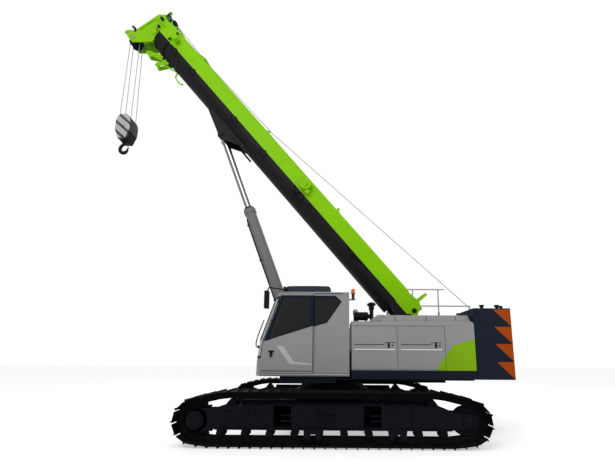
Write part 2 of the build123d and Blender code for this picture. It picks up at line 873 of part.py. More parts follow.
# ---------------------------------------------------------------- counterweight and winch
with BuildPart() as counterweight:
    with BuildSketch(Plane.XY.offset(sill_bottom)):
        with BuildLine():
            Polyline(
                (weight_front, -weight_half_width),
                (weight_front, weight_half_width),
                (weight_corner, weight_half_width),
                (weight_corner - 150, weight_half_width - 480),
                (weight_rear, weight_half_width - 1000),
                (weight_rear, -weight_half_width + 1000),
                (weight_corner - 150, -weight_half_width + 480),
                (weight_corner, -weight_half_width),
                close=True,
            )
        make_face()
    extrude(amount=weight_top - sill_bottom)
    with BuildSketch(Plane.XY.offset(tail_bottom - seat_gap)):
        with Locations(((weight_front + 10 + pocket_rear) / 2, 0)):
            Rectangle(weight_front + 10 - pocket_rear, 2 * pocket_half_width)
    extrude(amount=weight_top - tail_bottom + 10, mode=Mode.SUBTRACT)
    # lifting bollards and the rope keeper's hook on top
    for x in (-3390, -3730):
        for side_y in (-1, 1):
            for radius, low_z, high_z in ((34, weight_top - 10, weight_top + 165), (52, weight_top + 125, weight_top + 165)):
                with BuildSketch(Plane.XY.offset(low_z)):
                    with Locations((x, side_y * 800)):
                        Circle(radius)
                extrude(amount=high_z - low_z)
    with BuildSketch(upright(600)):
        with BuildLine():
            Polyline(
                (-3945, weight_top - 10),
                (-3945, weight_top + 175),
                (-3810, weight_top + 175),
                (-3810, weight_top + 130),
                (-3900, weight_top + 130),
                (-3900, weight_top - 10),
                close=True,
            )
        make_face()
    extrude(amount=25, both=True)
counterweight.part.label = "counterweight"
export_step(counterweight.part, "parts/counterweight.step")

with BuildPart() as winch_frame:
    for hand in (-1, 1):
        with BuildSketch(upright(hand * (drum_half_length + clear_gap + 12.5))):
            with BuildLine():
                Polyline(
                    (winch_axis[0] - 230, tail_bottom + 40 + seat_gap),
                    (winch_axis[0] - 110, winch_axis[1] + 60),
                    (winch_axis[0] + 110, winch_axis[1] + 60),
                    (winch_axis[0] + 300, tail_bottom + 40 + seat_gap),
                    close=True,
                )
            make_face()
            with Locations(winch_axis):
                Circle(120)
            with Locations(winch_axis):
                Circle(60, mode=Mode.SUBTRACT)
        extrude(amount=12.5, both=True)
    with BuildSketch(upright(0)):
        with Locations((winch_axis[0] + 35, tail_bottom + 40 + seat_gap + 20)):
            Rectangle(480, 40)
    extrude(amount=drum_half_length + clear_gap + 20, both=True)
winch_frame.part.label = "winch_frame"
export_step(winch_frame.part, "parts/winch_frame.step")

with BuildPart() as winch_drum:
    with BuildSketch(Plane(origin=(winch_axis[0], 0, winch_axis[1]), x_dir=(1, 0, 0), z_dir=(0, 0, 1))):
        half = drum_half_length
        with BuildLine():
            Polyline(
                (0, -half - clear_gap - 25),
                (60 - run_gap, -half - clear_gap - 25),
                (60 - run_gap, -half),
                (drum_flange_radius, -half),
                (drum_flange_radius, -half + 20),
                (drum_radius, -half + 20),
                (drum_radius, half - 20),
                (drum_flange_radius, half - 20),
                (drum_flange_radius, half),
                (60 - run_gap, half),
                (60 - run_gap, half + clear_gap + 25),
                (0, half + clear_gap + 25),
                close=True,
            )
        make_face()
    revolve(axis=Axis((winch_axis[0], 0, winch_axis[1]), (0, 1, 0)))
winch_drum.part.label = "winch_drum"
export_step(winch_drum.part, "parts/winch_drum.step")

# ---------------------------------------------------------------- cab


def cab_side(inset):
    """Side outline of the cab, (x, z), drawn in by the wall thickness."""
    return (
        (cab_front - inset, cab_bottom + inset),
        (cab_front - inset - 5, cab_bottom + 300),
        (cab_belt - inset, cab_bottom + 710),
        (1060 - inset * 0.8, cab_top - inset),
        (cab_rear + inset, cab_top - inset),
        (cab_rear + inset, cab_bottom + inset),
    )


# window outlines in side view, (x, z)
quarter_window = (
    (door_split_x - 20, 2240),
    (door_split_x - 20, 2835),
    (-60, 2835),
    (-170, 2745),
    (130, 2320),
)
side_window = (
    (cab_belt - 110, 1920),
    (1030, 2835),
    (door_split_x + 60, 2835),
    (door_split_x + 60, 1920),
)
door_window = (
    (cab_belt - 90, 1930),
    (1040, 2830),
    (door_split_x + 60, 2830),
    (door_split_x + 60, 2260),
)


def cab_front_x(z):
    """X of the cab's front pillars at one height."""
    points = cab_side(0)
    for (x1, z1), (x2, z2) in zip(points, points[1:4]):
        if z <= z2:
            return x1 + (x2 - x1) * (z - z1) / (z2 - z1)
    return points[3][0]


def front_bow(z, out=0.0, depth=0.0):
    """Plan outline of the bowed front at one height; with a depth, only a pane that thick."""
    x = cab_front_x(z) + out
    if depth:
        Line((x, cab_inner_y), (x, cab_inner_y + depth))
        ThreePointArc(
            (x, cab_inner_y + depth),
            (x + cab_bulge - depth, cab_mid_y),
            (x, cab_face_y - depth),
        )
        Line((x, cab_face_y - depth), (x, cab_face_y))
    else:
        Line((x, cab_inner_y), (x, cab_face_y))
    ThreePointArc((x, cab_face_y), (x + cab_bulge, cab_mid_y), (x, cab_inner_y))


cab_mid_y = (cab_inner_y + cab_face_y) / 2
cab_half = (cab_face_y - cab_inner_y) / 2
with BuildPart() as cab_shell:
    with BuildSketch(upright(cab_mid_y)):
        with BuildLine():
            Polyline(*cab_side(0), close=True)
        make_face()
    extrude(amount=cab_half, both=True)
    with BuildSketch(upright(cab_mid_y)):
        with BuildLine():
            Polyline(*cab_side(cab_wall), close=True)
        make_face()
    extrude(amount=cab_half - cab_wall, both=True, mode=Mode.SUBTRACT)
    # bowed panel under the windscreen and brow over it
    for low_z, high_z in ((cab_bottom, cab_bottom + 300), (cab_bottom + 300, sill_z), (brow_z, cab_top)):
        with BuildSketch(Plane.XY.offset(low_z)):
            with BuildLine():
                front_bow(low_z)
            make_face()
        lean = cab_front_x(high_z) - cab_front_x(low_z)
        length = math.hypot(lean, high_z - low_z)
        extrude(amount=length, dir=(lean / length, 0, (high_z - low_z) / length))
    # doorway
    with BuildSketch(upright(cab_face_y)):
        with BuildLine():
            Polyline(
                (cab_front - 90, cab_bottom + 110),
                (cab_belt - 80, cab_bottom + 700),
                (1010, cab_top - 90),
                (door_split_x + 60, cab_top - 90),
                (door_split_x + 60, cab_bottom + 110),
                close=True,
            )
        make_face()
    extrude(amount=cab_wall + 1, both=True, mode=Mode.SUBTRACT)
    # rear quarter window, both sides, and the right-hand side window
    with BuildSketch(upright(cab_mid_y)):
        with BuildLine():
            Polyline(*quarter_window, close=True)
        make_face()
    extrude(amount=cab_half + 1, both=True, mode=Mode.SUBTRACT)
    with BuildSketch(upright(cab_inner_y)):
        with BuildLine():
            Polyline(*side_window, close=True)
        make_face()
    extrude(amount=cab_wall + 1, both=True, mode=Mode.SUBTRACT)
    # windscreen opening
    with BuildSketch(Plane(origin=(cab_front, cab_mid_y, 0), x_dir=(0, 1, 0), z_dir=(1, 0, 0))):
        with Locations((0, (sill_z + brow_z) / 2)):
            Rectangle(2 * cab_half - 120, brow_z - sill_z)
    extrude(amount=-520, mode=Mode.SUBTRACT)
    # rails that carry the sliding door, over and under the doorway
    for rail_z in (cab_bottom + 85, cab_top - 60):
        with BuildSketch(upright(cab_face_y + (door_stand - run_gap) / 2)):
            with Locations(((cab_rear + 20 + 980) / 2, rail_z)):
                Rectangle(980 - cab_rear - 20, 30)
        extrude(amount=(door_stand - run_gap) / 2, both=True)
cab_shell.part.label = "cab_shell"
export_step(cab_shell.part, "parts/cab_shell.step")

door_inner_y = cab_face_y + door_stand
with BuildPart() as cab_door:
    with BuildSketch(upright(door_inner_y + door_thickness / 2)):
        with BuildLine():
            Polyline(
                (cab_front - 2, cab_bottom + 60),
                (cab_front - 7, cab_bottom + 300),
                (cab_belt - 2, cab_bottom + 710),
                (1058, cab_top - 35),
                (door_split_x, cab_top - 35),
                (door_split_x, cab_bottom + 60),
                close=True,
            )
        make_face()
        with BuildLine():
            Polyline(*door_window, close=True)
        make_face(mode=Mode.SUBTRACT)
    extrude(amount=door_thickness / 2, both=True)
cab_door.part.label = "cab_door"
export_step(cab_door.part, "parts/cab_door.step")

with BuildPart() as windscreen:
    belt_z = cab_bottom + 710
    for low_z, high_z in ((sill_z + seat_gap, belt_z), (belt_z, brow_z - seat_gap)):
        with BuildSketch(Plane.XY.offset(low_z)):
            with BuildLine():
                front_bow(low_z, seat_gap, glass + 2)
            make_face()
        lean = cab_front_x(high_z) - cab_front_x(low_z)
        length = math.hypot(lean, high_z - low_z)
        extrude(amount=length, dir=(lean / length, 0, (high_z - low_z) / length))
windscreen.part.label = "windscreen"
export_step(windscreen.part, "parts/windscreen.step")

with BuildPart() as cab_windows:
    for pane_y in (cab_face_y - 2 - glass / 2, cab_inner_y + 2 + glass / 2):
        with BuildSketch(upright(pane_y)):
            with BuildLine():
                Polyline(*quarter_window, close=True)
            make_face()
            offset(amount=-seat_gap)
        extrude(amount=glass / 2, both=True)
    with BuildSketch(upright(cab_inner_y + 2 + glass / 2)):
        with BuildLine():
            Polyline(*side_window, close=True)
        make_face()
        offset(amount=-seat_gap)
    extrude(amount=glass / 2, both=True)
cab_windows.part.label = "cab_windows"
export_step(cab_windows.part, "parts/cab_windows.step")

with BuildPart() as door_glass:
    with BuildSketch(upright(door_inner_y + door_thickness - 4 - glass / 2)):
        with BuildLine():
            Polyline(*door_window, close=True)
        make_face()
        offset(amount=-seat_gap)
    extrude(amount=glass / 2, both=True)
door_glass.part.label = "door_glass"
export_step(door_glass.part, "parts/door_glass.step")

# guard over the roof window: two side plates and slats across
guard_front = 1060.0
guard_rear = 30.0
guard_top = 3172.0
guard_half_y = 310.0
with BuildPart() as roof_guard:
    for side_y in (-1, 1):
        with BuildSketch(upright(cab_mid_y + side_y * guard_half_y)):
            with BuildLine():
                Polyline(
                    (guard_rear, cab_top + seat_gap),
                    (guard_rear + 45, guard_top),
                    (guard_front - 35, guard_top),
                    (guard_front, guard_top - 60),
                    (guard_front, cab_top + seat_gap),
                    close=True,
                )
            make_face()
        extrude(amount=8, both=True)
    for i in range(14):
        slat_x = guard_rear + 75 + i * (guard_front - guard_rear - 140) / 13
        with BuildSketch(upright(cab_mid_y)):
            with Locations((slat_x, guard_top - 42)):
                Rectangle(10, 76, rotation=-24)
        extrude(amount=guard_half_y, both=True)
roof_guard.part.label = "roof_guard"
export_step(roof_guard.part, "parts/roof_guard.step")

# rear-view mirror on its arm from the roof's front corner
with BuildPart() as mirror:
    with BuildSketch(Plane.XY.offset(cab_top + seat_gap)):
        with Locations((1000, cab_face_y - 45)):
            Rectangle(80, 60)
    extrude(amount=14)
    with BuildLine(Plane.XY) as arm:
        FilletPolyline(
            (1000, cab_face_y - 45, cab_top + 8),
            (1010, cab_face_y - 40, cab_top + 55),
            (1300, 1740, cab_top + 40),
            (1335, 1750, cab_top - 60),
            radius=25,
        )
    with BuildSketch(Plane(origin=arm.line @ 0, z_dir=arm.line % 0)):
        Circle(13)
    sweep(path=arm.line)
    with BuildSketch(Plane.XY.offset(2560)):
        with Locations((1335, 1750)):
            RectangleRounded(86, 190, 30)
    extrude(amount=350)
mirror.part.label = "mirror"
export_step(mirror.part, "parts/mirror.step")

with BuildPart() as beacon:
    with BuildSketch(Plane(origin=(-450, 1200, 0), x_dir=(1, 0, 0), z_dir=(0, -1, 0))) as lamp_half:
        with BuildLine():
            Polyline(
                (0, 2835),
                (32, 2835),
                (32, 2950),
                (48, 2960),
                (48, 2985),
                (42, 2985),
                (40, 3050),
                (28, 3066),
                (0, 3066),
                close=True,
            )
        make_face()
    revolve(lamp_half.sketch, axis=Axis((-450, 1200, 0), (0, 0, 1)))
    with BuildSketch(Plane.XY.offset(2820)):
        with Locations(((cab_rear - seat_gap - 500) / 2, 1200)):
            Rectangle(cab_rear - seat_gap + 500, 90)
    extrude(amount=18)
beacon.part.label = "beacon"
export_step(beacon.part, "parts/beacon.step")

seat_y = 1010.0
with BuildPart() as seat:
    with BuildSketch(upright(seat_y)):
        with BuildLine():
            Polyline(
                (60, cab_bottom + cab_wall + seat_gap),
                (60, 1620),
                (-90, 2330),
                (20, 2350),
                (160, 1770),
                (600, 1790),
                (620, 1680),
                (420, 1620),
                (420, cab_bottom + cab_wall + seat_gap),
                close=True,
            )
        make_face()
    extrude(amount=240, both=True)
seat.part.label = "seat"
export_step(seat.part, "parts/seat.step")

# ---------------------------------------------------------------- boom


def boom_profile(inset):
    """Cross-section of a boom section: flat top with round corners, half-round underside."""
    half = boom_half_width - inset
    top = boom_top_v - inset
    bottom = boom_bottom_v + inset
    corner = max(boom_corner - inset, 25)
    shoulder = bottom + half
    edge = top - corner
    slant = corner * math.sqrt(0.5)
    Line((-half, shoulder), (-half, edge))
    ThreePointArc((-half, edge), (-half + corner - slant, edge + slant), (-half + corner, top))
    Line((-half + corner, top), (half - corner, top))
    ThreePointArc((half - corner, top), (half - corner + slant, edge + slant), (half, edge))
    Line((half, edge), (half, shoulder))
    ThreePointArc((half, shoulder), (0, bottom), (-half, shoulder))


SECTIONS = (
    # number, inset of its outside, rear end u, collar start u
    (1, 0.0, 520.0, base_end - collar_length),
    (2, section_step, 640.0, base_end + run_gap),
    (3, 2 * section_step, 760.0, base_end + collar_length + 2 * run_gap),
    (4, 3 * section_step, 880.0, base_end + 2 * collar_length + 3 * run_gap),
)

for number, inset, rear, collar in SECTIONS:
    front = collar + collar_length
    last = number == len(SECTIONS)
    with BuildPart() as section:
        with BuildSketch(boom_cross(rear)):
            with BuildLine():
                boom_profile(inset)
            make_face()
            with BuildLine():
                boom_profile(inset + boom_wall)
            make_face(mode=Mode.SUBTRACT)
        extrude(amount=front - rear)
        # collar at the front, its lip guiding the next section
        lip = inset + section_step - run_gap
        with BuildSketch(boom_cross(collar)):
            with BuildLine():
                boom_profile(-collar_lip + 8 * (number - 1))
            make_face()
            with BuildLine():
                boom_profile(inset + boom_wall if last else lip)
            make_face(mode=Mode.SUBTRACT)
        extrude(amount=collar_length)
        if number > 1:
            # slide pads at the rear end
            with BuildSketch(boom_cross(rear)):
                with BuildLine():
                    boom_profile(inset - section_step + boom_wall + run_gap)
                make_face()
                with BuildLine():
                    boom_profile(inset + boom_wall)
                make_face(mode=Mode.SUBTRACT)
            extrude(amount=90)
        else:
            # foot: two side plates joined by the bottom wrap
            for hand in (-1, 1):
                with BuildSketch(boom_side(hand * (boom_half_width - 20))):
                    with BuildLine():
                        Polyline(
                            (rear + 100, boom_top_v - 60),
                            (175, boom_top_v - 5),
                            (50, 467),
                            (-30, 300),
                            (-200, 60),
                            (-200, -60),
                            (-80, -205),
                            (rear + 100, -60),
                            close=True,
                        )
                    make_face()
                    Circle(215)
                    Circle(75 + run_gap, mode=Mode.SUBTRACT)
                extrude(amount=20, both=True)
            with BuildSketch(boom_side(0)):
                with Locations((150, boom_top_v - 75)):
                    Rectangle(300, 40)
            extrude(amount=boom_half_width - 20, both=True)
            # rod-eye bracket
            for hand in (-1, 1):
                with BuildSketch(boom_side(hand * eye_plate_y)):
                    with BuildLine():
                        Polyline(
                            (8100, boom_bottom_v + 53),
                            (rod_eye[0] + 120, rod_eye[1] - 60),
                            (rod_eye[0] - 100, rod_eye[1] - 90),
                            (6250, boom_bottom_v + 53),
                            close=True,
                        )
                    make_face()
                    with Locations(rod_eye):
                        Circle(120)
                    with Locations(rod_eye):
                        Circle(60, mode=Mode.SUBTRACT)
                extrude(amount=eye_plate / 2, both=True)
                with BuildSketch(boom_side(hand * (rod_eye_width / 2 + seat_gap))):
                    with Locations(rod_eye):
                        Circle(100)
                        Circle(60, mode=Mode.SUBTRACT)
                extrude(amount=-hand * (eye_plate_y - rod_eye_width / 2 - seat_gap))
            # storage brackets for the jib under the front of the boom
            for hand in (-1, 1):
                with BuildSketch(boom_side(hand * 80)):
                    with BuildLine():
                        Polyline(
                            (10060, -205),
                            (10180, -225),
                            (10205, -300),
                            (10400, -400),
                            (10510, -470),
                            (10510, -550),
                            (10370, -560),
                            (10040, -310),
                            close=True,
                        )
                    make_face()
                    with BuildLine():
                        Polyline(
                            (9770, -200),
                            (9960, -200),
                            (9950, -380),
                            (10030, -500),
                            (10010, -590),
                            (9920, -590),
                            (9850, -430),
                            (9760, -270),
                            close=True,
                        )
                    make_face()
                extrude(amount=7, both=True)
            for axis_point, radius in (((10440, -500), 42), ((9965, -530), 42), ((9880, -360), 18), ((10140, -280), 18)):
                with BuildSketch(boom_side(0)):
                    with Locations(axis_point):
                        Circle(radius)
                extrude(amount=100, both=True)
            for start, end in (((10330, -450), (9900, -330)), ((9890, -430), (9370, -235))):
                length = math.hypot(end[0] - start[0], end[1] - start[1])
                with BuildSketch(boom_side(80)):
                    with Locations(((start[0] + end[0]) / 2, (start[1] + end[1]) / 2)):
                        Rectangle(length, 34, rotation=math.degrees(math.atan2(end[1] - start[1], end[0] - start[0])))
                extrude(amount=12, both=True)
            with BuildSketch(boom_side(80)):
                with BuildLine():
                    Polyline(
                        (9420, -210),
                        (9300, -390),
                        (9150, -420),
                        (8990, -410),
                        (8940, -350),
                        (8975, -335),
                        (9010, -375),
                        (9150, -385),
                        (9280, -358),
                        (9370, -200),
                        close=True,
                    )
                make_face()
            extrude(amount=10, both=True)
            # foot lug, rope guides and the plates of the rear rope roller on the boom's back
            with BuildSketch(boom_side(250)):
                with BuildLine():
                    Polyline((170, 480), (175, 800), (235, 815), (250, 740), (270, 480), close=True)
                make_face()
            extrude(amount=25, both=True)
            for place in (3280, 6210):
                with BuildSketch(boom_cross(place)):
                    with Locations((0, boom_top_v + 25)):
                        Rectangle(240, 60)
                    for hand in (-1, 1):
                        with Locations((hand * 100, boom_top_v + 45)):
                            Rectangle(30, 110)
                extrude(amount=70)
            with BuildSketch(boom_side(0)):
                with BuildLine():
                    Polyline(
                        (8700, boom_top_v - 5),
                        (8740, 590),
                        (8950, 600),
                        (9180, 640),
                        (9300, 640),
                        (9520, 590),
                        (9540, boom_top_v - 5),
                        close=True,
                    )
                make_face()
                with BuildLine():
                    Polyline((8800, 545), (9120, 575), (9440, 545), (9430, 555), (9180, 605), (8800, 562), close=True)
                make_face(mode=Mode.SUBTRACT)
            extrude(amount=70, both=True)
    name = "boom_base" if number == 1 else f"boom_section_{number}"
    section.part.label = name
    export_step(section.part, f"parts/{name}.step")

# cable reel on the boom's left side, with its bracket and motor
reel = (4260.0, 310.0)
with BuildPart() as cable_reel:
    with BuildSketch(boom_side(boom_half_width + seat_gap)):
        with Locations((reel[0] - 60, reel[1] - 40)):
            Rectangle(330, 230)
    extrude(amount=-14)
    with BuildSketch(boom_side(boom_half_width + seat_gap)):
        with Locations((reel[0] - 170, reel[1] - 90)):
            Rectangle(110, 110)
    extrude(amount=-120)
    # drum: radius and distance from the boom's side
    drum_steps = ((60, 10, 60), (142, 55, 75), (122, 70, 135), (142, 130, 150), (58, 145, 175))
    for radius, near, far in drum_steps:
        with BuildSketch(boom_side(boom_half_width + seat_gap + near)):
            with Locations(reel):
                Circle(radius)
        extrude(amount=near - far)
cable_reel.part.label = "cable_reel"
export_step(cable_reel.part, "parts/cable_reel.step")

# flood lamp on the boom's left side near the head
with BuildPart() as boom_lamp:
    with BuildSketch(boom_side(boom_half_width + seat_gap)):
        with Locations((9960, 290)):
            Rectangle(80, 110)
    extrude(amount=-70)
    with BuildSketch(boom_side(boom_half_width + seat_gap + 50)):
        with Locations((9940, 285)):
            Rectangle(150, 130, rotation=15)
    extrude(amount=-130)
boom_lamp.part.label = "boom_lamp"
export_step(boom_lamp.part, "parts/boom_lamp.step")

# head on the last section: two side plates with the sheave pins between them
head_start = SECTIONS[-1][3] + collar_length + seat_gap
head_half = 215.0
with BuildPart() as boom_head:
    for hand in (-1, 1):
        with BuildSketch(boom_side(hand * (head_half - 15))):
            with BuildLine():
                Polyline(
                    (head_start, 480),
                    (top_sheave[0] - 60, top_sheave[1] + 70),
                    (top_sheave[0] + 40, top_sheave[1] + 70),
                    (top_sheave[0] + 95, top_sheave[1] + 190),
                    (top_sheave[0] + 150, top_sheave[1] + 185),
                    (top_sheave[0] + 150, top_sheave[1] + 30),
                    (head_front, 430),
                    (head_front, -390),
                    (jib_pin[0] + 45, jib_pin[1] + 60),
                    (jib_pin[0] + 45, jib_pin[1] - 60),
                    (jib_pin[0] - 60, jib_pin[1] - 60),
                    (sheave_pin[0] + 100, sheave_pin[1] - 110),
                    (sheave_pin[0] - 110, sheave_pin[1] - 110),
                    (head_start, -250),
                    close=True,
                )
            make_face()
            for pin in (sheave_pin, top_sheave):
                with Locations(pin):
                    Circle(40 + run_gap, mode=Mode.SUBTRACT)
            with Locations(jib_pin):
                Circle(jib_pin_radius, mode=Mode.SUBTRACT)
        extrude(amount=15, both=True)
    with BuildSketch(boom_cross(head_start)):
        with Locations((0, 100)):
            Rectangle(2 * head_half - 40, 640)
    extrude(amount=30)
    with BuildSketch(boom_cross(head_front - 40)):
        with Locations((0, 60)):
            Rectangle(2 * head_half - 40, 500)
    extrude(amount=30)
boom_head.part.label = "boom_head"
export_step(boom_head.part, "parts/boom_head.step")


def sheave_disc(centre, y, pitch_radius, thickness, bore):
    """One grooved sheave as a revolved profile about its pin."""
    x, _, z = centre
    half = thickness / 2
    groove = pitch_radius - rope_radius - run_gap
    radius = pitch_radius + 30
    with BuildSketch(Plane(origin=(x, y, z), x_dir=(1, 0, 0), z_dir=(0, 0, 1))) as profile:
        with BuildLine():
            Polyline(
                (bore, -half),
                (radius, -half),
                (radius, -half * 0.75),
                (groove, -half * 0.3),
                (groove, half * 0.3),
                (radius, half * 0.75),
                (radius, half),
                (bore, half),
                close=True,
            )
        make_face()
    revolve(profile.sketch, axis=Axis((x, y, z), (0, 1, 0)))


with BuildPart() as head_sheaves:
    for hand in (-1, 1):
        sheave_disc(boom_point(*sheave_pin), hand * sheave_spacing / 2, sheave_pitch_radius, 50, 40 + run_gap)
head_sheaves.part.label = "head_sheaves"
export_step(head_sheaves.part, "parts/head_sheaves.step")

with BuildPart() as head_sheave_pin:
    with BuildSketch(boom_side(0)):
        with Locations(sheave_pin):
            Circle(40)
    extrude(amount=head_half + 20, both=True)
head_sheave_pin.part.label = "head_sheave_pin"
export_step(head_sheave_pin.part, "parts/head_sheave_pin.step")

with BuildPart() as head_top_sheave:
    sheave_disc(boom_point(*top_sheave), 0, 130, 50, 10)
    with BuildSketch(boom_side(0)):
        with Locations(top_sheave):
            Circle(40)
    extrude(amount=head_half + 20, both=True)
head_top_sheave.part.label = "head_top_sheave"
export_step(head_top_sheave.part, "parts/head_top_sheave.step")

# ---------------------------------------------------------------- luffing cylinder
eye_point = boom_point(*rod_eye)
reach_x = eye_point[0] - cylinder_foot[0]
reach_z = eye_point[2] - cylinder_foot[1]
cylinder_length = math.hypot(reach_x, reach_z)
cylinder_axis = (reach_x / cylinder_length, 0, reach_z / cylinder_length)


def cylinder_plane():
    """Plane through the cylinder's axis: local x is across it, local y along it from the foot."""
    return Plane(origin=(cylinder_foot[0], 0, cylinder_foot[1]), x_dir=(0, 1, 0), z_dir=(cylinder_axis[2], 0, -cylinder_axis[0]))


def turned(*points):
    """A solid of revolution about the cylinder's axis from (radius, distance) points."""
    with BuildSketch(cylinder_plane()) as profile:
        with BuildLine():
            Polyline(*points, close=True)
        make_face()
    revolve(profile.sketch, axis=Axis((cylinder_foot[0], 0, cylinder_foot[1]), cylinder_axis))


with BuildPart() as luff_barrel:
    turned(
        (0, 150),
        (100, 150),
        (barrel_radius, 250),
        (barrel_radius, barrel_end - 120),
        (barrel_radius + 18, barrel_end - 120),
        (barrel_radius + 18, barrel_end),
        (rod_radius + run_gap, barrel_end),
        (rod_radius + run_gap, barrel_end - 150),
        (barrel_radius - 18, barrel_end - 150),
        (barrel_radius - 18, 290),
        (0, 290),
    )
    with BuildSketch(upright(0)):
        with Locations(cylinder_foot):
            Circle(110)
    extrude(amount=90, both=True)
    with BuildSketch(Plane(origin=(cylinder_foot[0], 0, cylinder_foot[1]), x_dir=(0, 1, 0), z_dir=cylinder_axis)):
        Rectangle(160, 160)
    extrude(amount=200)
    with BuildSketch(upright(0)):
        with Locations(cylinder_foot):
            Circle(60 + run_gap)
    extrude(amount=91, both=True, mode=Mode.SUBTRACT)
luff_barrel.part.label = "luff_barrel"
export_step(luff_barrel.part, "parts/luff_barrel.step")

with BuildPart() as luff_piston:
    turned(
        (0, piston_place),
        (barrel_radius - 18 - run_gap, piston_place),
        (barrel_radius - 18 - run_gap, piston_place + piston_length),
        (0, piston_place + piston_length),
    )
luff_piston.part.label = "luff_piston"
export_step(luff_piston.part, "parts/luff_piston.step")

with BuildPart() as luff_rod:
    turned(
        (0, piston_place + piston_length + seat_gap),
        (rod_radius, piston_place + piston_length + seat_gap),
        (rod_radius, cylinder_length - 60),
        (0, cylinder_length - 60),
    )
    with BuildSketch(upright(0)):
        with Locations((eye_point[0], eye_point[2])):
            Circle(105)
    extrude(amount=rod_eye_width / 2, both=True)
    with BuildSketch(upright(0)):
        with Locations((eye_point[0], eye_point[2])):
            Circle(55)
    extrude(amount=rod_eye_width / 2 + 1, both=True, mode=Mode.SUBTRACT)
luff_rod.part.label = "luff_rod"
export_step(luff_rod.part, "parts/luff_rod.step")

# ---------------------------------------------------------------- hoist rope falls, hook block and hook
sheave_centre = boom_point(*sheave_pin)
turn = math.radians(block_turn)
falls = []
for across in (-1, 1):
    for along in (-1, 1):
        top_point = Vector(
            sheave_centre[0] + across * sheave_pitch_radius,
            along * sheave_spacing / 2,
            sheave_centre[2],
        )
        local_x = across * block_pitch_radius
        local_y = along * block_spacing / 2
        low_point = Vector(
            sheave_centre[0] + local_x * math.cos(turn) - local_y * math.sin(turn),
            local_x * math.sin(turn) + local_y * math.cos(turn),
            block_axis_z,
        )
        falls.append((top_point, low_point))

with BuildPart() as hoist_falls:
    for top_point, low_point in falls:
        run = top_point - low_point
        with BuildSketch(Plane(origin=low_point, z_dir=run)):
            Circle(rope_radius)
        extrude(amount=run.length)
hoist_falls.part.label = "hoist_falls"
export_step(hoist_falls.part, "parts/hoist_falls.step")

block_half = 170.0
block_plane = Plane(
    origin=(sheave_centre[0], 0, block_axis_z),
    x_dir=(math.cos(turn), math.sin(turn), 0),
    z_dir=(math.sin(turn), -math.cos(turn), 0),
)
shank_radius = 32.0
crosshead_v = -330.0
crosshead_height = 90.0
with BuildPart() as hook_block:
    for hand in (-1, 1):
        with BuildSketch(block_plane.offset(hand * (block_half - 12))):
            with BuildLine():
                Polyline(
                    (-215, -150),
                    (-215, 260),
                    (-150, 420),
                    (150, 420),
                    (215, 260),
                    (215, -150),
                    (90, -400),
                    (-90, -400),
                    close=True,
                )
            make_face()
        extrude(amount=12, both=True)
    # sheaves, each on the common pin
    for hand in (-1, 1):
        with BuildSketch(block_plane.offset(hand * block_spacing / 2)):
            Circle(block_pitch_radius - rope_radius - run_gap)
        extrude(amount=25, both=True)
    with BuildSketch(block_plane):
        Circle(45)
        with Locations((0, crosshead_v)):
            Rectangle(150, crosshead_height)
    extrude(amount=block_half - 10, both=True)
    with BuildSketch(Plane.XY.offset(block_axis_z + crosshead_v - crosshead_height)):
        with Locations((sheave_centre[0], 0)):
            Circle(shank_radius + run_gap)
    extrude(amount=2 * crosshead_height, mode=Mode.SUBTRACT)
hook_block.part.label = "hook_block"
export_step(hook_block.part, "parts/hook_block.step")

# hook: shank through the crosshead under its nut, and the bowl open to one side
bowl_v = -690.0
bowl_radius = 115.0
throat_radius = 62.0
with BuildPart() as hook:
    with BuildSketch(block_plane):
        with Locations((0, bowl_v)):
            Circle(bowl_radius)
            Circle(throat_radius, mode=Mode.SUBTRACT)
        with Locations((bowl_radius - 20, bowl_v + 75)):
            Rectangle(110, 150, mode=Mode.SUBTRACT)
        with BuildLine():
            Polyline(
                (-40, bowl_v + 55),
                (-34, bowl_v + 190),
                (34, bowl_v + 190),
                (30, bowl_v + 130),
                (0, bowl_v + 85),
                close=True,
            )
        make_face()
    extrude(amount=36, both=True)
    shank_plane = Plane.XY.offset(block_axis_z + bowl_v + 180)
    nut_z = block_axis_z + crosshead_v + crosshead_height / 2 + seat_gap
    with BuildSketch(shank_plane):
        with Locations((sheave_centre[0], 0)):
            Circle(shank_radius)
    extrude(amount=nut_z + 40 - shank_plane.origin.Z)
    with BuildSketch(Plane.XY.offset(nut_z)):
        with Locations((sheave_centre[0], 0)):
            RegularPolygon(58, 6)
    extrude(amount=45)
hook.part.label = "hook"
export_step(hook.part, "parts/hook.step")
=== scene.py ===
"""Looks of the telescopic crawler crane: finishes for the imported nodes, fine pieces riding on them, and the studio."""

import math

import bmesh
import bpy
import numpy as np
from bpy.props import FloatProperty, FloatVectorProperty, PointerProperty
from mathutils import Matrix, Vector


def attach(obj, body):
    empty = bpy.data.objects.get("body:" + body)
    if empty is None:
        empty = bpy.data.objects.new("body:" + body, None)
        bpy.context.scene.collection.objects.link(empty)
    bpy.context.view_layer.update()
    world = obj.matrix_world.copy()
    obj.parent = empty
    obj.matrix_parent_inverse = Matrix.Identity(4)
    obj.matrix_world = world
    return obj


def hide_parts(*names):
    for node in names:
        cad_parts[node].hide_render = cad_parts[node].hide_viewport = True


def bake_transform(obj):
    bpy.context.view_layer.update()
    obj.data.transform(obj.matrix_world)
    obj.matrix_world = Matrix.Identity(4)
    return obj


bl_info = {
    "name": "Crawler Crane Dressing",
    "version": (1, 0, 0),
    "blender": (4, 5, 0),
    "location": "View3D > Sidebar > Crane",
    "description": "Finishes and fine pieces of a telescopic crawler crane, on its packed frame",
    "category": "Object",
}

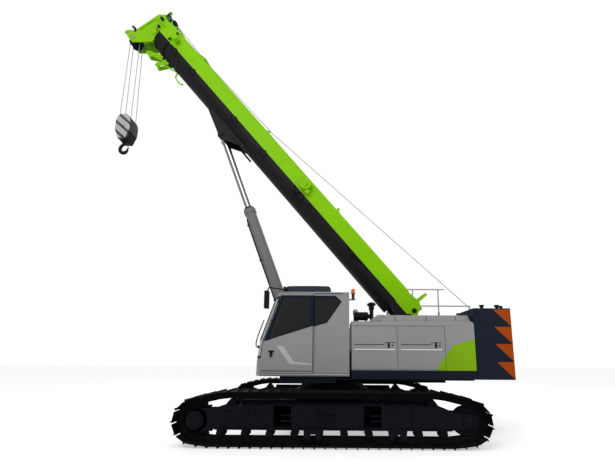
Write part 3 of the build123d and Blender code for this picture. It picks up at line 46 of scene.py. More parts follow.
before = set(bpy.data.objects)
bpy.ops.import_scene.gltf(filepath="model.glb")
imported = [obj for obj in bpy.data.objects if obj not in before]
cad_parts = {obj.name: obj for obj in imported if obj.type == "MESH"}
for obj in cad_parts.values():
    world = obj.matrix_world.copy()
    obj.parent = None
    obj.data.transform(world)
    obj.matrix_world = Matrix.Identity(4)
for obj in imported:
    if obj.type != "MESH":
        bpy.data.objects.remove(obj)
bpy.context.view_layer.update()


# ---------------------------------------------------------------- places shared with the CAD
BOOM_PIVOT = np.array((-1.8, 0.0, 2.45))
BOOM_ANGLE = math.radians(50)
BOOM_U = np.array((math.cos(BOOM_ANGLE), 0.0, math.sin(BOOM_ANGLE)))
BOOM_V = np.array((-math.sin(BOOM_ANGLE), 0.0, math.cos(BOOM_ANGLE)))
LEFT = np.array((0.0, 1.0, 0.0))
UP = np.array((0.0, 0.0, 1.0))
BOOM_HALF = 0.330
BOOM_TOP = 0.535
COLLAR_LIP = 0.020
COLLAR_HALF = BOOM_HALF + COLLAR_LIP
HEAD_HALF = 0.215
ROPE_RADIUS = 0.009
CAB_FACE = 1.449
CAB_INNER = 0.560
DOOR_FACE = 1.500
HOOD_FACE = 1.480
WHEEL_X = 2.470
WHEEL_Z = 0.455
FRAME_FACE = 2.170
DRIVE_STEP = 2.120
DRIVE_FACE = 2.245
# hook block: its middle, the way that its cheeks face, and how far each sheave is from its middle
BLOCK_PLACE = np.array((5.7179, 0.0, 7.75))
CHEEK = np.array((0.0, 1.0, 0.0))
BLOCK_SHEAVES = 0.125
# pins and axles: (u, v) on the boom, (X, Z) on the upper structure
TOP_SHEAVE = (10.85, 0.573)
LOWER_SHEAVES = (11.02, -0.567)
JIB_PIN = (11.26, -0.60)
ROD_EYE = (6.946, -0.443)
WINCH_AXLE = (-3.52, 2.42)
CYLINDER_FOOT = np.array((0.70, 0.0, 1.45))
TRACK_MIDDLE = 2.0
SEAT_Y = 1.010
DOOR_REAR = 0.3985
LATCH_Z = 1.838
PAD_U = 10.13
CABLE_Y = 0.345
WEIGHT_FACE = 1.4805
# edges of the painted patterns
SPLIT_HEIGHT = 0.100
BRACKET_TOP = -0.265
BRACKET_START = 8.605
TEETH_TOP = 2.594
TEETH_EDGE = -3.345
TOOTH_HEIGHT = 0.3575
TOOTH_WIDTH = 0.36
LENS_FOOT = 2.964
PATCH_EDGES = (((-2.086, 1.335), -1.274), ((-2.488, 1.847), -0.29))


def boom(u, y, v):
    """Points of the boom's frame: the pivot plus u along the boom, y to the left and v up from its axis."""
    u, y, v = np.broadcast_arrays(np.asarray(u, float), np.asarray(y, float), np.asarray(v, float))
    return BOOM_PIVOT + u[..., None] * BOOM_U + y[..., None] * LEFT + v[..., None] * BOOM_V


def screen_x(y, z):
    """X of the windscreen: the pillars' line at this height, plus a circular bow 150 mm deep across the cab."""
    pillar = np.interp(z, (1.505, 1.915, 2.952), (1.475, 1.420, 1.060))
    half, bow = (CAB_FACE - CAB_INNER) / 2, 0.150
    radius = (half**2 + bow**2) / (2 * bow)
    return pillar - (radius - bow) + np.sqrt(radius**2 - (y - (CAB_FACE + CAB_INNER) / 2) ** 2)


# ---------------------------------------------------------------- surfaces
def unit(v):
    """Vectors divided by their lengths."""
    v = np.asarray(v, float)
    return v / np.maximum(np.linalg.norm(v, axis=-1, keepdims=True), 1e-12)


def about(axis):
    """An axis as a unit vector, and two unit vectors square to it and to each other."""
    axis = unit(axis)
    first = unit(np.cross(axis, (0.31, 0.52, 0.79)))
    return axis, first, np.cross(axis, first)


def ring(radius, count=16):
    """A circle as a profile: radius times the cosine and sine of evenly spaced angles."""
    turn = 2 * np.pi * np.arange(count) / count
    return radius * np.stack((np.cos(turn), np.sin(turn)), axis=1)


def circle(radius, turn, y, x=WHEEL_X, z=WHEEL_Z):
    """Points of an upright circle at one Y: the centre plus radius times the cosine and sine of each angle."""
    return np.stack((x + radius * np.cos(turn), np.full(len(turn), y), z + radius * np.sin(turn)), axis=1)


def rectangle(left, right, low, high):
    """A rectangle's corners as an outline, from its first corner round to the left again."""
    return ((left, low), (right, low), (right, high), (left, high))


def soft_box(width, height, radius, steps=3):
    """A rectangle with round corners as a profile: each corner's centre plus a quarter circle."""
    turn = np.linspace(0, np.pi / 2, steps + 1)
    quarters = [(1, 1, 0), (-1, 1, 1), (-1, -1, 2), (1, -1, 3)]
    runs = [
        np.stack(
            (
                sx * (width / 2 - radius) + radius * np.cos(turn + k * np.pi / 2),
                sy * (height / 2 - radius) + radius * np.sin(turn + k * np.pi / 2),
            ),
            axis=1,
        )
        for sx, sy, k in quarters
    ]
    return np.concatenate(runs)


def rounded(points, rounds=3, share=0.25):
    """A path with cut corners: each round puts points at share and one minus share of every run."""
    path = np.asarray(points, float)
    for _ in range(rounds):
        a, b = path[:-1], path[1:]
        cut = np.stack((a + (b - a) * share, b - (b - a) * share), axis=1).reshape(-1, path.shape[1])
        path = np.concatenate((path[:1], cut[1:-1], path[-1:]))
    return path


def inset(outline, distance):
    """An outline drawn in by a distance: each corner moves along its mitre, one over the cosine of half the turn."""
    p = np.asarray(outline, float)
    back, ahead = unit(p - np.roll(p, 1, 0)), unit(np.roll(p, -1, 0) - p)
    area = 0.5 * np.sum(p[:, 0] * np.roll(p[:, 1], -1) - np.roll(p[:, 0], -1) * p[:, 1])
    left = np.array(((0, -1), (1, 0))) * np.sign(area)
    n1, n2 = back @ left.T, ahead @ left.T
    mitre = unit(n1 + n2)
    return p + mitre * (distance / np.maximum(np.sum(mitre * n1, axis=1, keepdims=True), 0.3))


class Shape:
    """A mesh put together from numpy grids, which becomes one piece."""

    def __init__(self):
        self.points = []
        self.faces = []
        self.count = 0

    def add(self, points, faces):
        """Adds points and the faces that index them."""
        self.points.append(np.asarray(points, float).reshape(-1, 3))
        self.faces += [[i + self.count for i in face] for face in faces]
        self.count += len(self.points[-1])
        return self

    def grid(self, points, wrap_rows=False, wrap_columns=True, caps=True):
        """A grid of rows and columns as quads; wrapped columns make a tube, whose ends get caps."""
        rows, columns = points.shape[:2]
        i = np.arange(rows if wrap_rows else rows - 1)[:, None]
        j = np.arange(columns if wrap_columns else columns - 1)[None, :]
        i2, j2 = (i + 1) % rows, (j + 1) % columns
        quads = np.stack(
            np.broadcast_arrays(i * columns + j, i * columns + j2, i2 * columns + j2, i2 * columns + j), axis=-1
        ).reshape(-1, 4)
        faces = quads.tolist()
        if caps and wrap_columns and not wrap_rows:
            faces.append(list(range(columns))[::-1])
            faces.append([(rows - 1) * columns + k for k in range(columns)])
        return self.add(points, faces)

    def sweep(self, path, profile, side=(0, 1, 0), scale=None, closed=False):
        """A profile carried along a path, across its tangent, with its first axis square to the given side."""
        path = np.asarray(path, float)
        if closed:
            tangent = unit(np.roll(path, -1, 0) - np.roll(path, 1, 0))
        else:
            tangent = unit(np.gradient(path, axis=0))
        across = unit(np.cross(np.asarray(side, float), tangent))
        up = np.cross(tangent, across)
        size = np.ones(len(path)) if scale is None else np.asarray(scale, float)
        grid = path[:, None] + size[:, None, None] * (
            profile[None, :, :1] * across[:, None] + profile[None, :, 1:] * up[:, None]
        )
        return self.grid(grid, wrap_rows=closed, caps=not closed)

    def tube(self, points, radius, sides=10, side=(0, 1, 0), rounds=3):
        """A round bar along a path whose corners are cut."""
        return self.sweep(rounded(points, rounds), ring(radius, sides), side)

    def bar(self, start, end, width, height, radius, side=(0, 1, 0)):
        """A straight bar with a rounded box as its section."""
        return self.sweep((start, end), soft_box(width, height, radius), side)

    def lathe(self, profile, origin, axis, sides=24):
        """A solid of revolution: each (radius, distance) turned about the axis through the origin."""
        profile = np.asarray(profile, float)
        axis, first, second = about(axis)
        turn = 2 * np.pi * np.arange(sides) / sides
        spoke = np.cos(turn)[:, None] * first + np.sin(turn)[:, None] * second
        grid = (
            np.asarray(origin, float)
            + profile[:, None, 1:] * axis
            + np.maximum(profile[:, None, :1], 1e-5) * spoke[None]
        )
        return self.grid(grid)

    def slab(self, outline, place, thickness, bevel=0.0):
        """A flat plate: the outline carried along the place's third axis, with both rims chamfered."""
        origin, u, v, w = (np.asarray(a, float) for a in place)
        outline = np.asarray(outline, float)
        if bevel:
            small = inset(outline, bevel)
            levels = ((small, 0), (outline, bevel), (outline, thickness - bevel), (small, thickness))
        else:
            levels = ((outline, 0), (outline, thickness))
        grid = np.stack([origin + p[:, :1] * u + p[:, 1:] * v + h * w for p, h in levels])
        return self.grid(grid)

    def frame(self, outer, inner, place, thickness, bevel=0.0):
        """A plate with a window: the outer and inner outlines have the same number of corners."""
        origin, u, v, w = (np.asarray(a, float) for a in place)
        outer, inner = np.asarray(outer, float), np.asarray(inner, float)
        rings = (
            (outer, 0),
            (outer, thickness - bevel),
            (inset(outer, bevel) if bevel else outer, thickness),
            (inset(inner, -bevel) if bevel else inner, thickness),
            (inner, thickness - bevel),
            (inner, 0),
        )
        grid = np.stack([origin + p[:, :1] * u + p[:, 1:] * v + h * w for p, h in rings])
        return self.grid(grid, wrap_rows=True)

    def bolts(self, places, axis, radius, height):
        """Hexagon heads on washers, one at each place: a round step, then six flats with a chamfered top."""
        axis, first, second = about(axis)
        turn = np.pi * np.arange(12) / 6
        spoke = np.cos(turn)[:, None] * first + np.sin(turn)[:, None] * second
        flat = np.where(np.arange(12) % 2 == 0, 1.0, math.cos(math.pi / 6))[:, None]
        steps = (
            (np.ones((12, 1)) * 1.45, 0.0),
            (np.ones((12, 1)) * 1.45, 0.28),
            (flat, 0.30),
            (flat, 0.92),
            (flat * 0.86, 1.0),
        )
        one = np.stack([radius * s * spoke + height * h * axis for s, h in steps])
        for place in np.asarray(places, float).reshape(-1, 3):
            self.grid(one + place)
        return self

    def build(self, name, paint, body=None, slot=None):
        """Makes the piece with outward faces and its body. The paint is a finish's key or a material."""
        mesh = bpy.data.meshes.new(name)
        mesh.from_pydata(np.concatenate(self.points).tolist(), [], self.faces)
        work = bmesh.new()
        work.from_mesh(mesh)
        bmesh.ops.recalc_face_normals(work, faces=work.faces)
        work.to_mesh(mesh)
        work.free()
        mesh.shade_smooth()
        mesh.set_sharp_from_angle(angle=math.radians(35.0))
        mesh.materials.append(finish(paint) if isinstance(paint, str) else paint)
        piece = bpy.data.objects.new(name, mesh)
        bpy.context.scene.collection.objects.link(piece)
        if body:
            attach(piece, body)
        return piece


def side_place(y, facing=1):
    """A side view's place at one Y: X across, Z up, and out to the left (1) or the right (-1)."""
    return ((0, y, 0), (1, 0, 0), (0, 0, 1), (0, facing, 0))


def boom_place(y, facing):
    """A side view of the boom at one Y: u along it, v up from its axis, and out to the left or the right."""
    origin = BOOM_PIVOT + np.array((0, y, 0))
    return (origin, BOOM_U, BOOM_V, (0, facing, 0))


# ---------------------------------------------------------------- materials
GREEN = (0.176, 0.430, 0.0)
GREY = (0.212, 0.212, 0.215)
PALE = (0.340, 0.340, 0.345)
NAVY = (0.0055, 0.0085, 0.0165)
CHARCOAL = (0.0085, 0.0085, 0.0085)
ORANGE = (0.255, 0.038, 0.0)
LIME = (0.159, 0.310, 0.002)
DUST = (0.085, 0.075, 0.052)
AMBER = (0.62, 0.11, 0.006)
BARE = (0.30, 0.30, 0.31)
BLACK = (0.010, 0.010, 0.011)


def node(tree, kind, inputs=None, **settings):
    """Adds one shader node, with values or links for its inputs."""
    made = tree.nodes.new(kind)
    for key, value in settings.items():
        setattr(made, key, value)
    for key, value in (inputs or {}).items():
        if isinstance(value, bpy.types.NodeSocket):
            tree.links.new(value, made.inputs[key])
        else:
            made.inputs[key].default_value = value
    return made


def maths(tree, operation, a, b=0.0, c=0.0, clamp=False):
    """A Math node's result. The third value is the addend of MULTIPLY_ADD."""
    return node(tree, "ShaderNodeMath", {0: a, 1: b, 2: c}, operation=operation, use_clamp=clamp).outputs[0]


def blend(tree, factor, a, b):
    """A colour mix's result."""
    made = node(tree, "ShaderNodeMix", data_type="RGBA")
    for key, value in ((0, factor), (6, a), (7, b)):
        if isinstance(value, bpy.types.NodeSocket):
            tree.links.new(value, made.inputs[key])
        else:
            made.inputs[key].default_value = value if key == 0 else (*value[:3], 1)
    return made.outputs[2]


def ramp(tree, value, low, high):
    """Smoothly from 0 at low to 1 at high."""
    made = node(tree, "ShaderNodeMapRange", {0: value, 1: low, 2: high}, interpolation_type="SMOOTHSTEP")
    return made.outputs[0]


def step(tree, value, place, width):
    """From 0 to 1 across a narrow band about a place; a negative width turns it round."""
    return ramp(tree, value, place - width / 2, place + width / 2)


def noise(tree, where, scale, detail=3.0, rough=0.55):
    """Noise at one scale, per metre."""
    made = node(tree, "ShaderNodeTexNoise", {"Vector": where, "Scale": scale, "Detail": detail, "Roughness": rough})
    return made.outputs[0]


def new_material(name):
    """A new material, its node tree, its shader and its object coordinates."""
    material = bpy.data.materials.new(name)
    material.use_nodes = True
    tree = material.node_tree
    where = node(tree, "ShaderNodeTexCoord").outputs["Object"]
    return material, tree, tree.nodes["Principled BSDF"], where


def coat_group():
    """Weathered coat: slow shade changes, fine orange peel, settled dust on faces that look up and on what is low."""
    if "Weathered Coat" in bpy.data.node_groups:
        return bpy.data.node_groups["Weathered Coat"]
    tree = bpy.data.node_groups.new("Weathered Coat", "ShaderNodeTree")
    face = tree.interface
    for way, kind, names in (
        ("INPUT", "Color", ("Paint",)),
        ("INPUT", "Float", ("Dust", "Low Dirt", "Peel", "Gloss")),
        ("OUTPUT", "Color", ("Color",)),
        ("OUTPUT", "Float", ("Roughness",)),
        ("OUTPUT", "Vector", ("Normal",)),
    ):
        for name in names:
            face.new_socket(name, in_out=way, socket_type=f"NodeSocket{kind}")
    given = node(tree, "NodeGroupInput")
    out = node(tree, "NodeGroupOutput")
    where = node(tree, "ShaderNodeTexCoord").outputs["Object"]
    geometry = node(tree, "ShaderNodeNewGeometry")
    parts = node(tree, "ShaderNodeSeparateXYZ", {0: where})
    facing = node(tree, "ShaderNodeSeparateXYZ", {0: geometry.outputs["Normal"]})
    slow = noise(tree, where, 0.9, 4.0)
    fine = noise(tree, where, 14.0, 5.0, 0.65)
    grit = noise(tree, where, 90.0, 4.0, 0.6)
    # colour: the paint a little lighter and darker in slow patches
    shade = maths(tree, "MULTIPLY_ADD", slow, 0.22, 0.89)
    tone = node(tree, "ShaderNodeHueSaturation", {"Value": shade, "Color": given.outputs["Paint"]}).outputs[0]
    # dust: where faces look up, and low on the machine, broken up by the noises
    up = ramp(tree, facing.outputs[2], 0.35, 0.95)
    low = ramp(tree, parts.outputs[2], 1.0, 0.05)
    settle = maths(tree, "MULTIPLY", up, given.outputs["Dust"])
    splash = maths(tree, "MULTIPLY", low, given.outputs["Low Dirt"])
    both = maths(tree, "ADD", settle, splash)
    broken = maths(tree, "MULTIPLY", ramp(tree, fine, 0.40, 0.62), maths(tree, "ADD", 0.25, slow))
    dust = maths(tree, "MULTIPLY", both, broken, clamp=True)
    colour = blend(tree, dust, tone, DUST)
    tree.links.new(colour, out.inputs["Color"])
    # roughness: the gloss given, duller under dust and in fine streaks
    dull = maths(tree, "MULTIPLY_ADD", fine, 0.16, -0.08)
    rough = maths(
        tree, "ADD", maths(tree, "ADD", given.outputs["Gloss"], dull), maths(tree, "MULTIPLY", dust, 0.5), clamp=True
    )
    tree.links.new(rough, out.inputs["Roughness"])
    peel = node(tree, "ShaderNodeBump", {"Strength": given.outputs["Peel"], "Distance": 0.0015, "Height": grit})
    tree.links.new(peel.outputs[0], out.inputs["Normal"])
    return tree


def coated(name, paint, dust, low_dirt, peel, gloss, metallic=0.0, coat=0.0, pattern=None, shine=0.07):
    """A painted finish. A pattern, given the tree and the object coordinates, returns the paint's colour."""
    material, tree, shader, where = new_material(name)
    group = node(tree, "ShaderNodeGroup", node_tree=coat_group())
    group.inputs["Paint"].default_value = (*paint, 1)
    if pattern:
        tree.links.new(pattern(tree, where), group.inputs["Paint"])
    for key, value in (("Dust", dust), ("Low Dirt", low_dirt), ("Peel", peel), ("Gloss", gloss)):
        group.inputs[key].default_value = value
    shader.inputs["Metallic"].default_value = metallic
    shader.inputs["Specular IOR Level"].default_value = shine
    if coat:
        shader.inputs["Coat Weight"].default_value = coat
        shader.inputs["Coat Roughness"].default_value = 0.08
    for key, socket in (("Color", "Base Color"), ("Roughness", "Roughness"), ("Normal", "Normal")):
        tree.links.new(group.outputs[key], shader.inputs[socket])
    material.diffuse_color = (*paint, 1)
    return material


def glass(name, tint):
    """Glass: a tinted transmitting shader with faint smears in its roughness."""
    material, tree, shader, where = new_material(name)
    smear = ramp(tree, noise(tree, where, 3.0, 4.0), 0.45, 0.8)
    tree.links.new(
        blend(tree, maths(tree, "MULTIPLY", smear, 0.12), tint, (0.5, 0.5, 0.5)), shader.inputs["Base Color"]
    )
    tree.links.new(maths(tree, "MULTIPLY_ADD", smear, 0.08, 0.03), shader.inputs["Roughness"])
    shader.inputs["Transmission Weight"].default_value = 1.0
    shader.inputs["IOR"].default_value = 1.45
    return material


PAINTS = {}


def finish(key):
    """One of the scene's finishes, made the first time that it is asked for."""
    if key not in PAINTS:
        PAINTS[key] = FINISHES[key]()
    return PAINTS[key]


def along(tree, where, axis, offset):
    """The distance of a point along an axis from a place: the dot product less the offset."""
    dot = node(tree, "ShaderNodeVectorMath", {0: where, 1: tuple(axis)}, operation="DOT_PRODUCT")
    return maths(tree, "SUBTRACT", dot.outputs["Value"], offset)


def boom_pattern(tree, where):
    """Green above a line along the boom and charcoal below it, green again on the storage brackets under its front."""
    v = along(tree, where, BOOM_V, float(BOOM_PIVOT @ BOOM_V))
    u = along(tree, where, BOOM_U, float(BOOM_PIVOT @ BOOM_U))
    above = step(tree, v, SPLIT_HEIGHT, 0.004)
    bracket = maths(tree, "MULTIPLY", step(tree, v, BRACKET_TOP, -0.006), step(tree, u, BRACKET_START, 0.01))
    return blend(tree, maths(tree, "MAXIMUM", above, bracket), CHARCOAL, GREEN)


def weight_pattern(tree, where):
    """Orange teeth down the counterweight's sides: each is 350 mm wide at its top and narrows to the corner."""
    parts = node(tree, "ShaderNodeSeparateXYZ", {0: where})
    x, y, z = parts.outputs
    share = maths(tree, "FRACT", maths(tree, "DIVIDE", maths(tree, "SUBTRACT", TEETH_TOP, z), TOOTH_HEIGHT))
    edge = maths(tree, "SUBTRACT", TEETH_EDGE, maths(tree, "MULTIPLY", share, TOOTH_WIDTH))
    tooth = step(tree, maths(tree, "SUBTRACT", edge, x), 0.0, 0.004)
    high = step(tree, z, TEETH_TOP, -0.004)
    side = step(tree, maths(tree, "ABSOLUTE", y), WEIGHT_FACE - 0.0055, 0.002)
    inside = maths(tree, "MULTIPLY", maths(tree, "MULTIPLY", tooth, high), side)
    return blend(tree, inside, NAVY, ORANGE)


def block_pattern(tree, where):
    """Silver cheeks with dark slanted bands on the hook block, and black edges between them."""
    normal = node(tree, "ShaderNodeTexCoord").outputs["Normal"]
    facing = node(tree, "ShaderNodeVectorMath", {0: normal, 1: tuple(CHEEK)}, operation="DOT_PRODUCT").outputs["Value"]
    cheek = ramp(tree, maths(tree, "ABSOLUTE", facing), 0.80, 0.85)
    across = (-CHEEK[1] * 0.9, CHEEK[0] * 0.9, 1.0)
    line = along(tree, where, across, float(np.dot(across, BLOCK_PLACE)) - 0.09)
    share = maths(tree, "FRACT", maths(tree, "DIVIDE", line, 0.27))
    band = maths(tree, "MULTIPLY", ramp(tree, share, 0.0, 0.02), ramp(tree, share, 0.36, 0.34))
    silver = blend(tree, band, (0.34, 0.34, 0.35), (0.060, 0.060, 0.062))
    return blend(tree, cheek, BLACK, silver)


def beacon_pattern(tree, where):
    """An orange lens over a black foot."""
    z = node(tree, "ShaderNodeSeparateXYZ", {0: where}).outputs[2]
    return blend(tree, step(tree, z, LENS_FOOT, 0.004), (0.012, 0.012, 0.013), AMBER)


def rope_strand_shade_pattern(tree, where):
    """Strands of a laid rope painted on a smooth tube: fine slanted bands, the dark ones painted shade in the grooves
    between the strands, the light ones a painted highlight on their crowns.
    """
    slant = along(tree, where, (0.62, 0.55, 0.56), 0.0)
    wave = maths(tree, "MULTIPLY_ADD", maths(tree, "SINE", maths(tree, "MULTIPLY", slant, 260.0)), 0.5, 0.5)
    return blend(tree, ramp(tree, wave, 0.05, 0.9), (0.16, 0.16, 0.165), (0.44, 0.44, 0.45))


def hood_pattern(tree, where):
    """Grey with a green patch low at the rear: below two slanted lines."""
    parts = node(tree, "ShaderNodeSeparateXYZ", {0: where})
    x, z = parts.outputs[0], parts.outputs[2]
    # each edge: a point (X, Z) that it starts from and its slope, towards the rear the steep one and then the flat one
    under = []
    for (start_x, start_z), slope in PATCH_EDGES:
        line = maths(tree, "MULTIPLY_ADD", x, slope, start_z - start_x * slope)
        under.append(step(tree, maths(tree, "SUBTRACT", line, z), 0.0, 0.004))
    inside = maths(tree, "MINIMUM", *under)
    side = step(tree, parts.outputs[1], 1.405, 0.01)
    return blend(tree, maths(tree, "MULTIPLY", inside, side), GREY, LIME)


FINISHES = {
    "boom": lambda: coated("boom_paint", GREEN, 0.05, 0.0, 0.06, 0.45, pattern=boom_pattern),
    "green": lambda: coated("green_paint", GREEN, 0.05, 0.0, 0.06, 0.45),
    "grey": lambda: coated("grey_paint", GREY, 0.08, 0.05, 0.06, 0.42, coat=0.1),
    "hood": lambda: coated("hood_paint", GREY, 0.08, 0.05, 0.06, 0.42, coat=0.1, pattern=hood_pattern),
    "pale": lambda: coated("pale_grey_paint", PALE, 0.08, 0.05, 0.06, 0.40),
    # the ledge's light grey is a painted highlight
    "ledge": lambda: coated("ledge_painted_highlight", (0.55, 0.55, 0.56), 0.05, 0.05, 0.06, 0.40),
    "navy": lambda: coated("navy_paint", NAVY, 0.15, 0.05, 0.10, 0.50),
    "guard": lambda: coated("guard_paint", (0.028, 0.033, 0.044), 0.15, 0.0, 0.10, 0.50),
    "weight": lambda: coated("weight_paint", NAVY, 0.10, 0.05, 0.10, 0.50, pattern=weight_pattern),
    "frame": lambda: coated("frame_paint", (0.0028, 0.0038, 0.0065), 0.06, 0.05, 0.15, 0.55, shine=0.04),
    "track": lambda: coated("track_steel", (0.0020, 0.0022, 0.0026), 0.10, 0.06, 0.35, 0.60, shine=0.04),
    "charcoal": lambda: coated("charcoal_paint", CHARCOAL, 0.08, 0.05, 0.08, 0.48),
    "steel": lambda: coated("bare_steel", BARE, 0.1, 0.05, 0.15, 0.38, metallic=0.9),
    "rope": lambda: coated("steel_rope", BARE, 0.0, 0.0, 0.10, 0.50, metallic=0.3, pattern=rope_strand_shade_pattern),
    "hook": lambda: coated("hook_paint", BLACK, 0.05, 0.0, 0.15, 0.40),
    "chrome": lambda: coated("chrome_rod", (0.29, 0.30, 0.32), 0.0, 0.0, 0.02, 0.16, metallic=1.0),
    "barrel": lambda: coated("barrel_paint", (0.138, 0.138, 0.141), 0.06, 0.0, 0.06, 0.42),
    "block": lambda: coated("block_paint", (0.42, 0.42, 0.43), 0.05, 0.0, 0.08, 0.42, pattern=block_pattern),
    "plastic": lambda: coated("black_plastic", (0.0065, 0.0065, 0.007), 0.08, 0.05, 0.25, 0.48),
    "rubber": lambda: coated("black_rubber", (0.0055, 0.0055, 0.0055), 0.08, 0.1, 0.25, 0.65),
    "beacon": lambda: coated("beacon_lens", AMBER, 0.02, 0.0, 0.05, 0.22, coat=0.4, pattern=beacon_pattern),
    "seat": lambda: coated("seat_fabric", (0.018, 0.018, 0.020), 0.0, 0.0, 0.8, 0.85),
    "clear": lambda: glass("clear_glass", (0.90, 0.93, 0.93)),
    "tinted": lambda: glass("tinted_glass", (0.012, 0.013, 0.016)),
}

NODE_FINISH = {
    "boom": ("boom_base", "boom_section_2", "boom_section_3", "boom_section_4"),
    "green": ("boom_head", "cable_reel", "boom_lamp"),
    "grey": ("cab_shell", "cab_door"),
    "barrel": ("luff_barrel",),
    "pale": ("exhaust", "handrails"),
    "hood": ("hood_left", "hood_right", "hood_door_front", "hood_door_rear"),
    "navy": ("deck", "roof_guard", "head_sheaves", "head_top_sheave"),
    "weight": ("counterweight",),
    "frame": ("carbody", "track_frame_left", "track_frame_right", "sprocket_left", "sprocket_right", "idler_left",
              "idler_right", "bottom_rollers_left", "bottom_rollers_right", "carrier_rollers_left",
              "carrier_rollers_right", "slew_ring", "turntable"),
    "track": ("track_left", "track_right"),
    "charcoal": ("engine", "winch_frame"),
    "steel": ("boom_foot_pin", "cylinder_foot_pin", "winch_drum", "head_sheave_pin"),
    "rope": ("hoist_falls",),
    "hook": ("hook",),
    "chrome": ("luff_rod", "luff_piston"),
    "block": ("hook_block",),
    "plastic": ("mirror", "air_intake"),
    "beacon": ("beacon",),
    "seat": ("seat",),
    "clear": ("windscreen",),
    "tinted": ("cab_windows", "door_glass"),
}


# ---------------------------------------------------------------- settings
class CraneStudio(bpy.types.PropertyGroup):
    """Camera and light of the studio."""

    focal: FloatProperty(name="Focal length", description="Lens for a 36 mm sensor, in millimetres", default=21.440)
    place: FloatVectorProperty(
        name="Camera place", description="Where the camera stands", default=(-0.0397, 9.0975, 1.5786), subtype="XYZ",
        unit="LENGTH",
    )
    pitch: FloatProperty(name="Pitch", description="Tilt above the horizon", default=0.182, subtype="ANGLE")
    yaw: FloatProperty(name="Yaw", description="Turn from straight at the side", default=0.0105, subtype="ANGLE")
    roll: FloatProperty(name="Roll", description="Turn about the line of sight", default=0.0057, subtype="ANGLE")
    shift: FloatVectorProperty(
        name="Shift", description="Lens shift across and up", default=(-0.03755, 0.09673), size=2
    )
    sky: FloatProperty(name="Sky", description="Strength of the soft white surroundings", default=0.85, min=0.0)
    key: FloatProperty(
        name="Key", description="Power of the large lamp over the camera, in watts", default=900.0, unit="POWER"
    )


# ---------------------------------------------------------------- operators
class CRANE_OT_finishes(bpy.types.Operator):
    """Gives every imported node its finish, in its object's material slots"""

    bl_idname = "crane.finishes"
    bl_label = "Node finishes"

    def execute(self, context):
        for key, names in NODE_FINISH.items():
            for name in names:
                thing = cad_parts[name]
                if not thing.material_slots:
                    raise RuntimeError(f"{name} has no material slot")
                for held in thing.material_slots:
                    held.link = "OBJECT"
                    held.material = finish(key)
        bare = set(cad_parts) - {n for names in NODE_FINISH.values() for n in names}
        if bare:
            raise RuntimeError(f"nodes with no finish: {sorted(bare)}")
        return {"FINISHED"}


class CRANE_OT_boom_trim(bpy.types.Operator):
    """Cover strips with their screws, cables, pad caps, bars, pin caps and plate seams of the boom"""

    bl_idname = "crane.boom_trim"
    bl_label = "Boom trim"

    def execute(self, context):
        strips, clips, pads = Shape(), Shape(), Shape()
        for hand in (-1, 1):
            y = hand * (BOOM_HALF + 0.001)
            strips.slab(rectangle(0.55, 9.95, 0.088, 0.116), boom_place(y, hand), 0.007, 0.002)
            u = np.arange(0.9, 9.8, 0.74)
            clips.bolts(boom(u, y + hand * 0.007, 0.102), (0, hand, 0), 0.009, 0.008)
            for v in (0.17, 0.30, 0.42):
                pads.slab(
                    soft_box(0.075, 0.085, 0.012) + (PAD_U, v), boom_place(hand * COLLAR_HALF, hand), 0.010, 0.003
                )
                pads.bolts(boom((10.108, 10.152), hand * (COLLAR_HALF + 0.010), v), (0, hand, 0), 0.009, 0.010)
        for y in (-0.16, 0.16):
            outline = soft_box(0.085, 0.11, 0.012) + (PAD_U, y)
            top = (BOOM_PIVOT + BOOM_V * (BOOM_TOP + COLLAR_LIP), BOOM_U, (0, 1, 0), BOOM_V)
            pads.slab(outline, top, 0.010, 0.003)
        strips.build("boom_cover_strips", "navy", "boom", "navy")
        clips.build("boom_strip_screws", "navy", "boom", "navy")
        pads.build("boom_slide_pad_caps", "charcoal", "boom", "dark")

        hoses = Shape()
        turn = np.linspace(-0.6, 1.6 * np.pi, 22)
        # the reel's cable: a curl of radius r about (u, v), then on to the strip
        for centre, radius, lead in (((4.16, -0.02), 0.12, (3.72, 0.06)), ((2.05, 0.03), 0.055, (1.80, 0.095))):
            curl = boom(centre[0] + radius * np.cos(turn), 0.352, centre[1] + radius * np.sin(turn))
            path = np.concatenate(
                (boom([lead[0]], [CABLE_Y], [lead[1]]), curl, boom([centre[0] + 0.32], [CABLE_Y], [0.11]))
            )
            hoses.tube(path, 0.011, 8, rounds=1)
        for u, drop in ((9.78, 0.10), (8.92, 0.11), (7.02, 0.12), (5.75, 0.09)):
            back, height = (0, -0.05, -0.16, -0.02, 0.10), (0.10, 0.10 + drop * 0.4, 0.02, 0.02 - drop, 0.06)
            path = [(u + a, y, v) for a, y, v in zip(back, (CABLE_Y, 0.36, 0.365, 0.36, CABLE_Y), height)]
            hoses.tube(boom(*np.array(path).T), 0.009, 8)
        hoses.build("boom_cables", "rubber", "boom", "black_plastic")

        bars = Shape()
        for y in (-0.21, 0.21):
            bars.sweep(boom((6.05, 6.74), y, (-0.268, -0.262)), soft_box(0.05, 0.035, 0.008))
        bars.build("rod_eye_bars", "charcoal", "boom", "dark")

        caps = Shape()
        for hand in (-1, 1):
            caps.lathe(
                ((0.001, 0), (0.058, 0), (0.062, 0.006), (0.062, 0.018), (0.05, 0.024), (0.001, 0.024)),
                boom(0, hand * 0.40, 0), (0, hand, 0), 28,
            )
            caps.lathe(
                ((0.001, 0), (0.055, 0), (0.060, 0.004), (0.060, 0.012), (0.001, 0.016)),
                boom(0.09, hand * (BOOM_HALF + 0.002), 0.29), (0, hand, 0), 28,
            )
        caps.build("boom_foot_pin_caps", "charcoal", "upper", "dark")

        edges = Shape()
        for hand in (-1, 1):
            for u in (0.62, 2.9, 5.2, 7.5, 9.2):
                edges.sweep(
                    boom(u, hand * (BOOM_HALF + 0.001), np.array((0.125, 0.43))), soft_box(0.010, 0.003, 0.001, 1),
                    side=BOOM_U,
                )
        edges.build("boom_plate_seams", "green", "boom", "green")
        return {"FINISHED"}


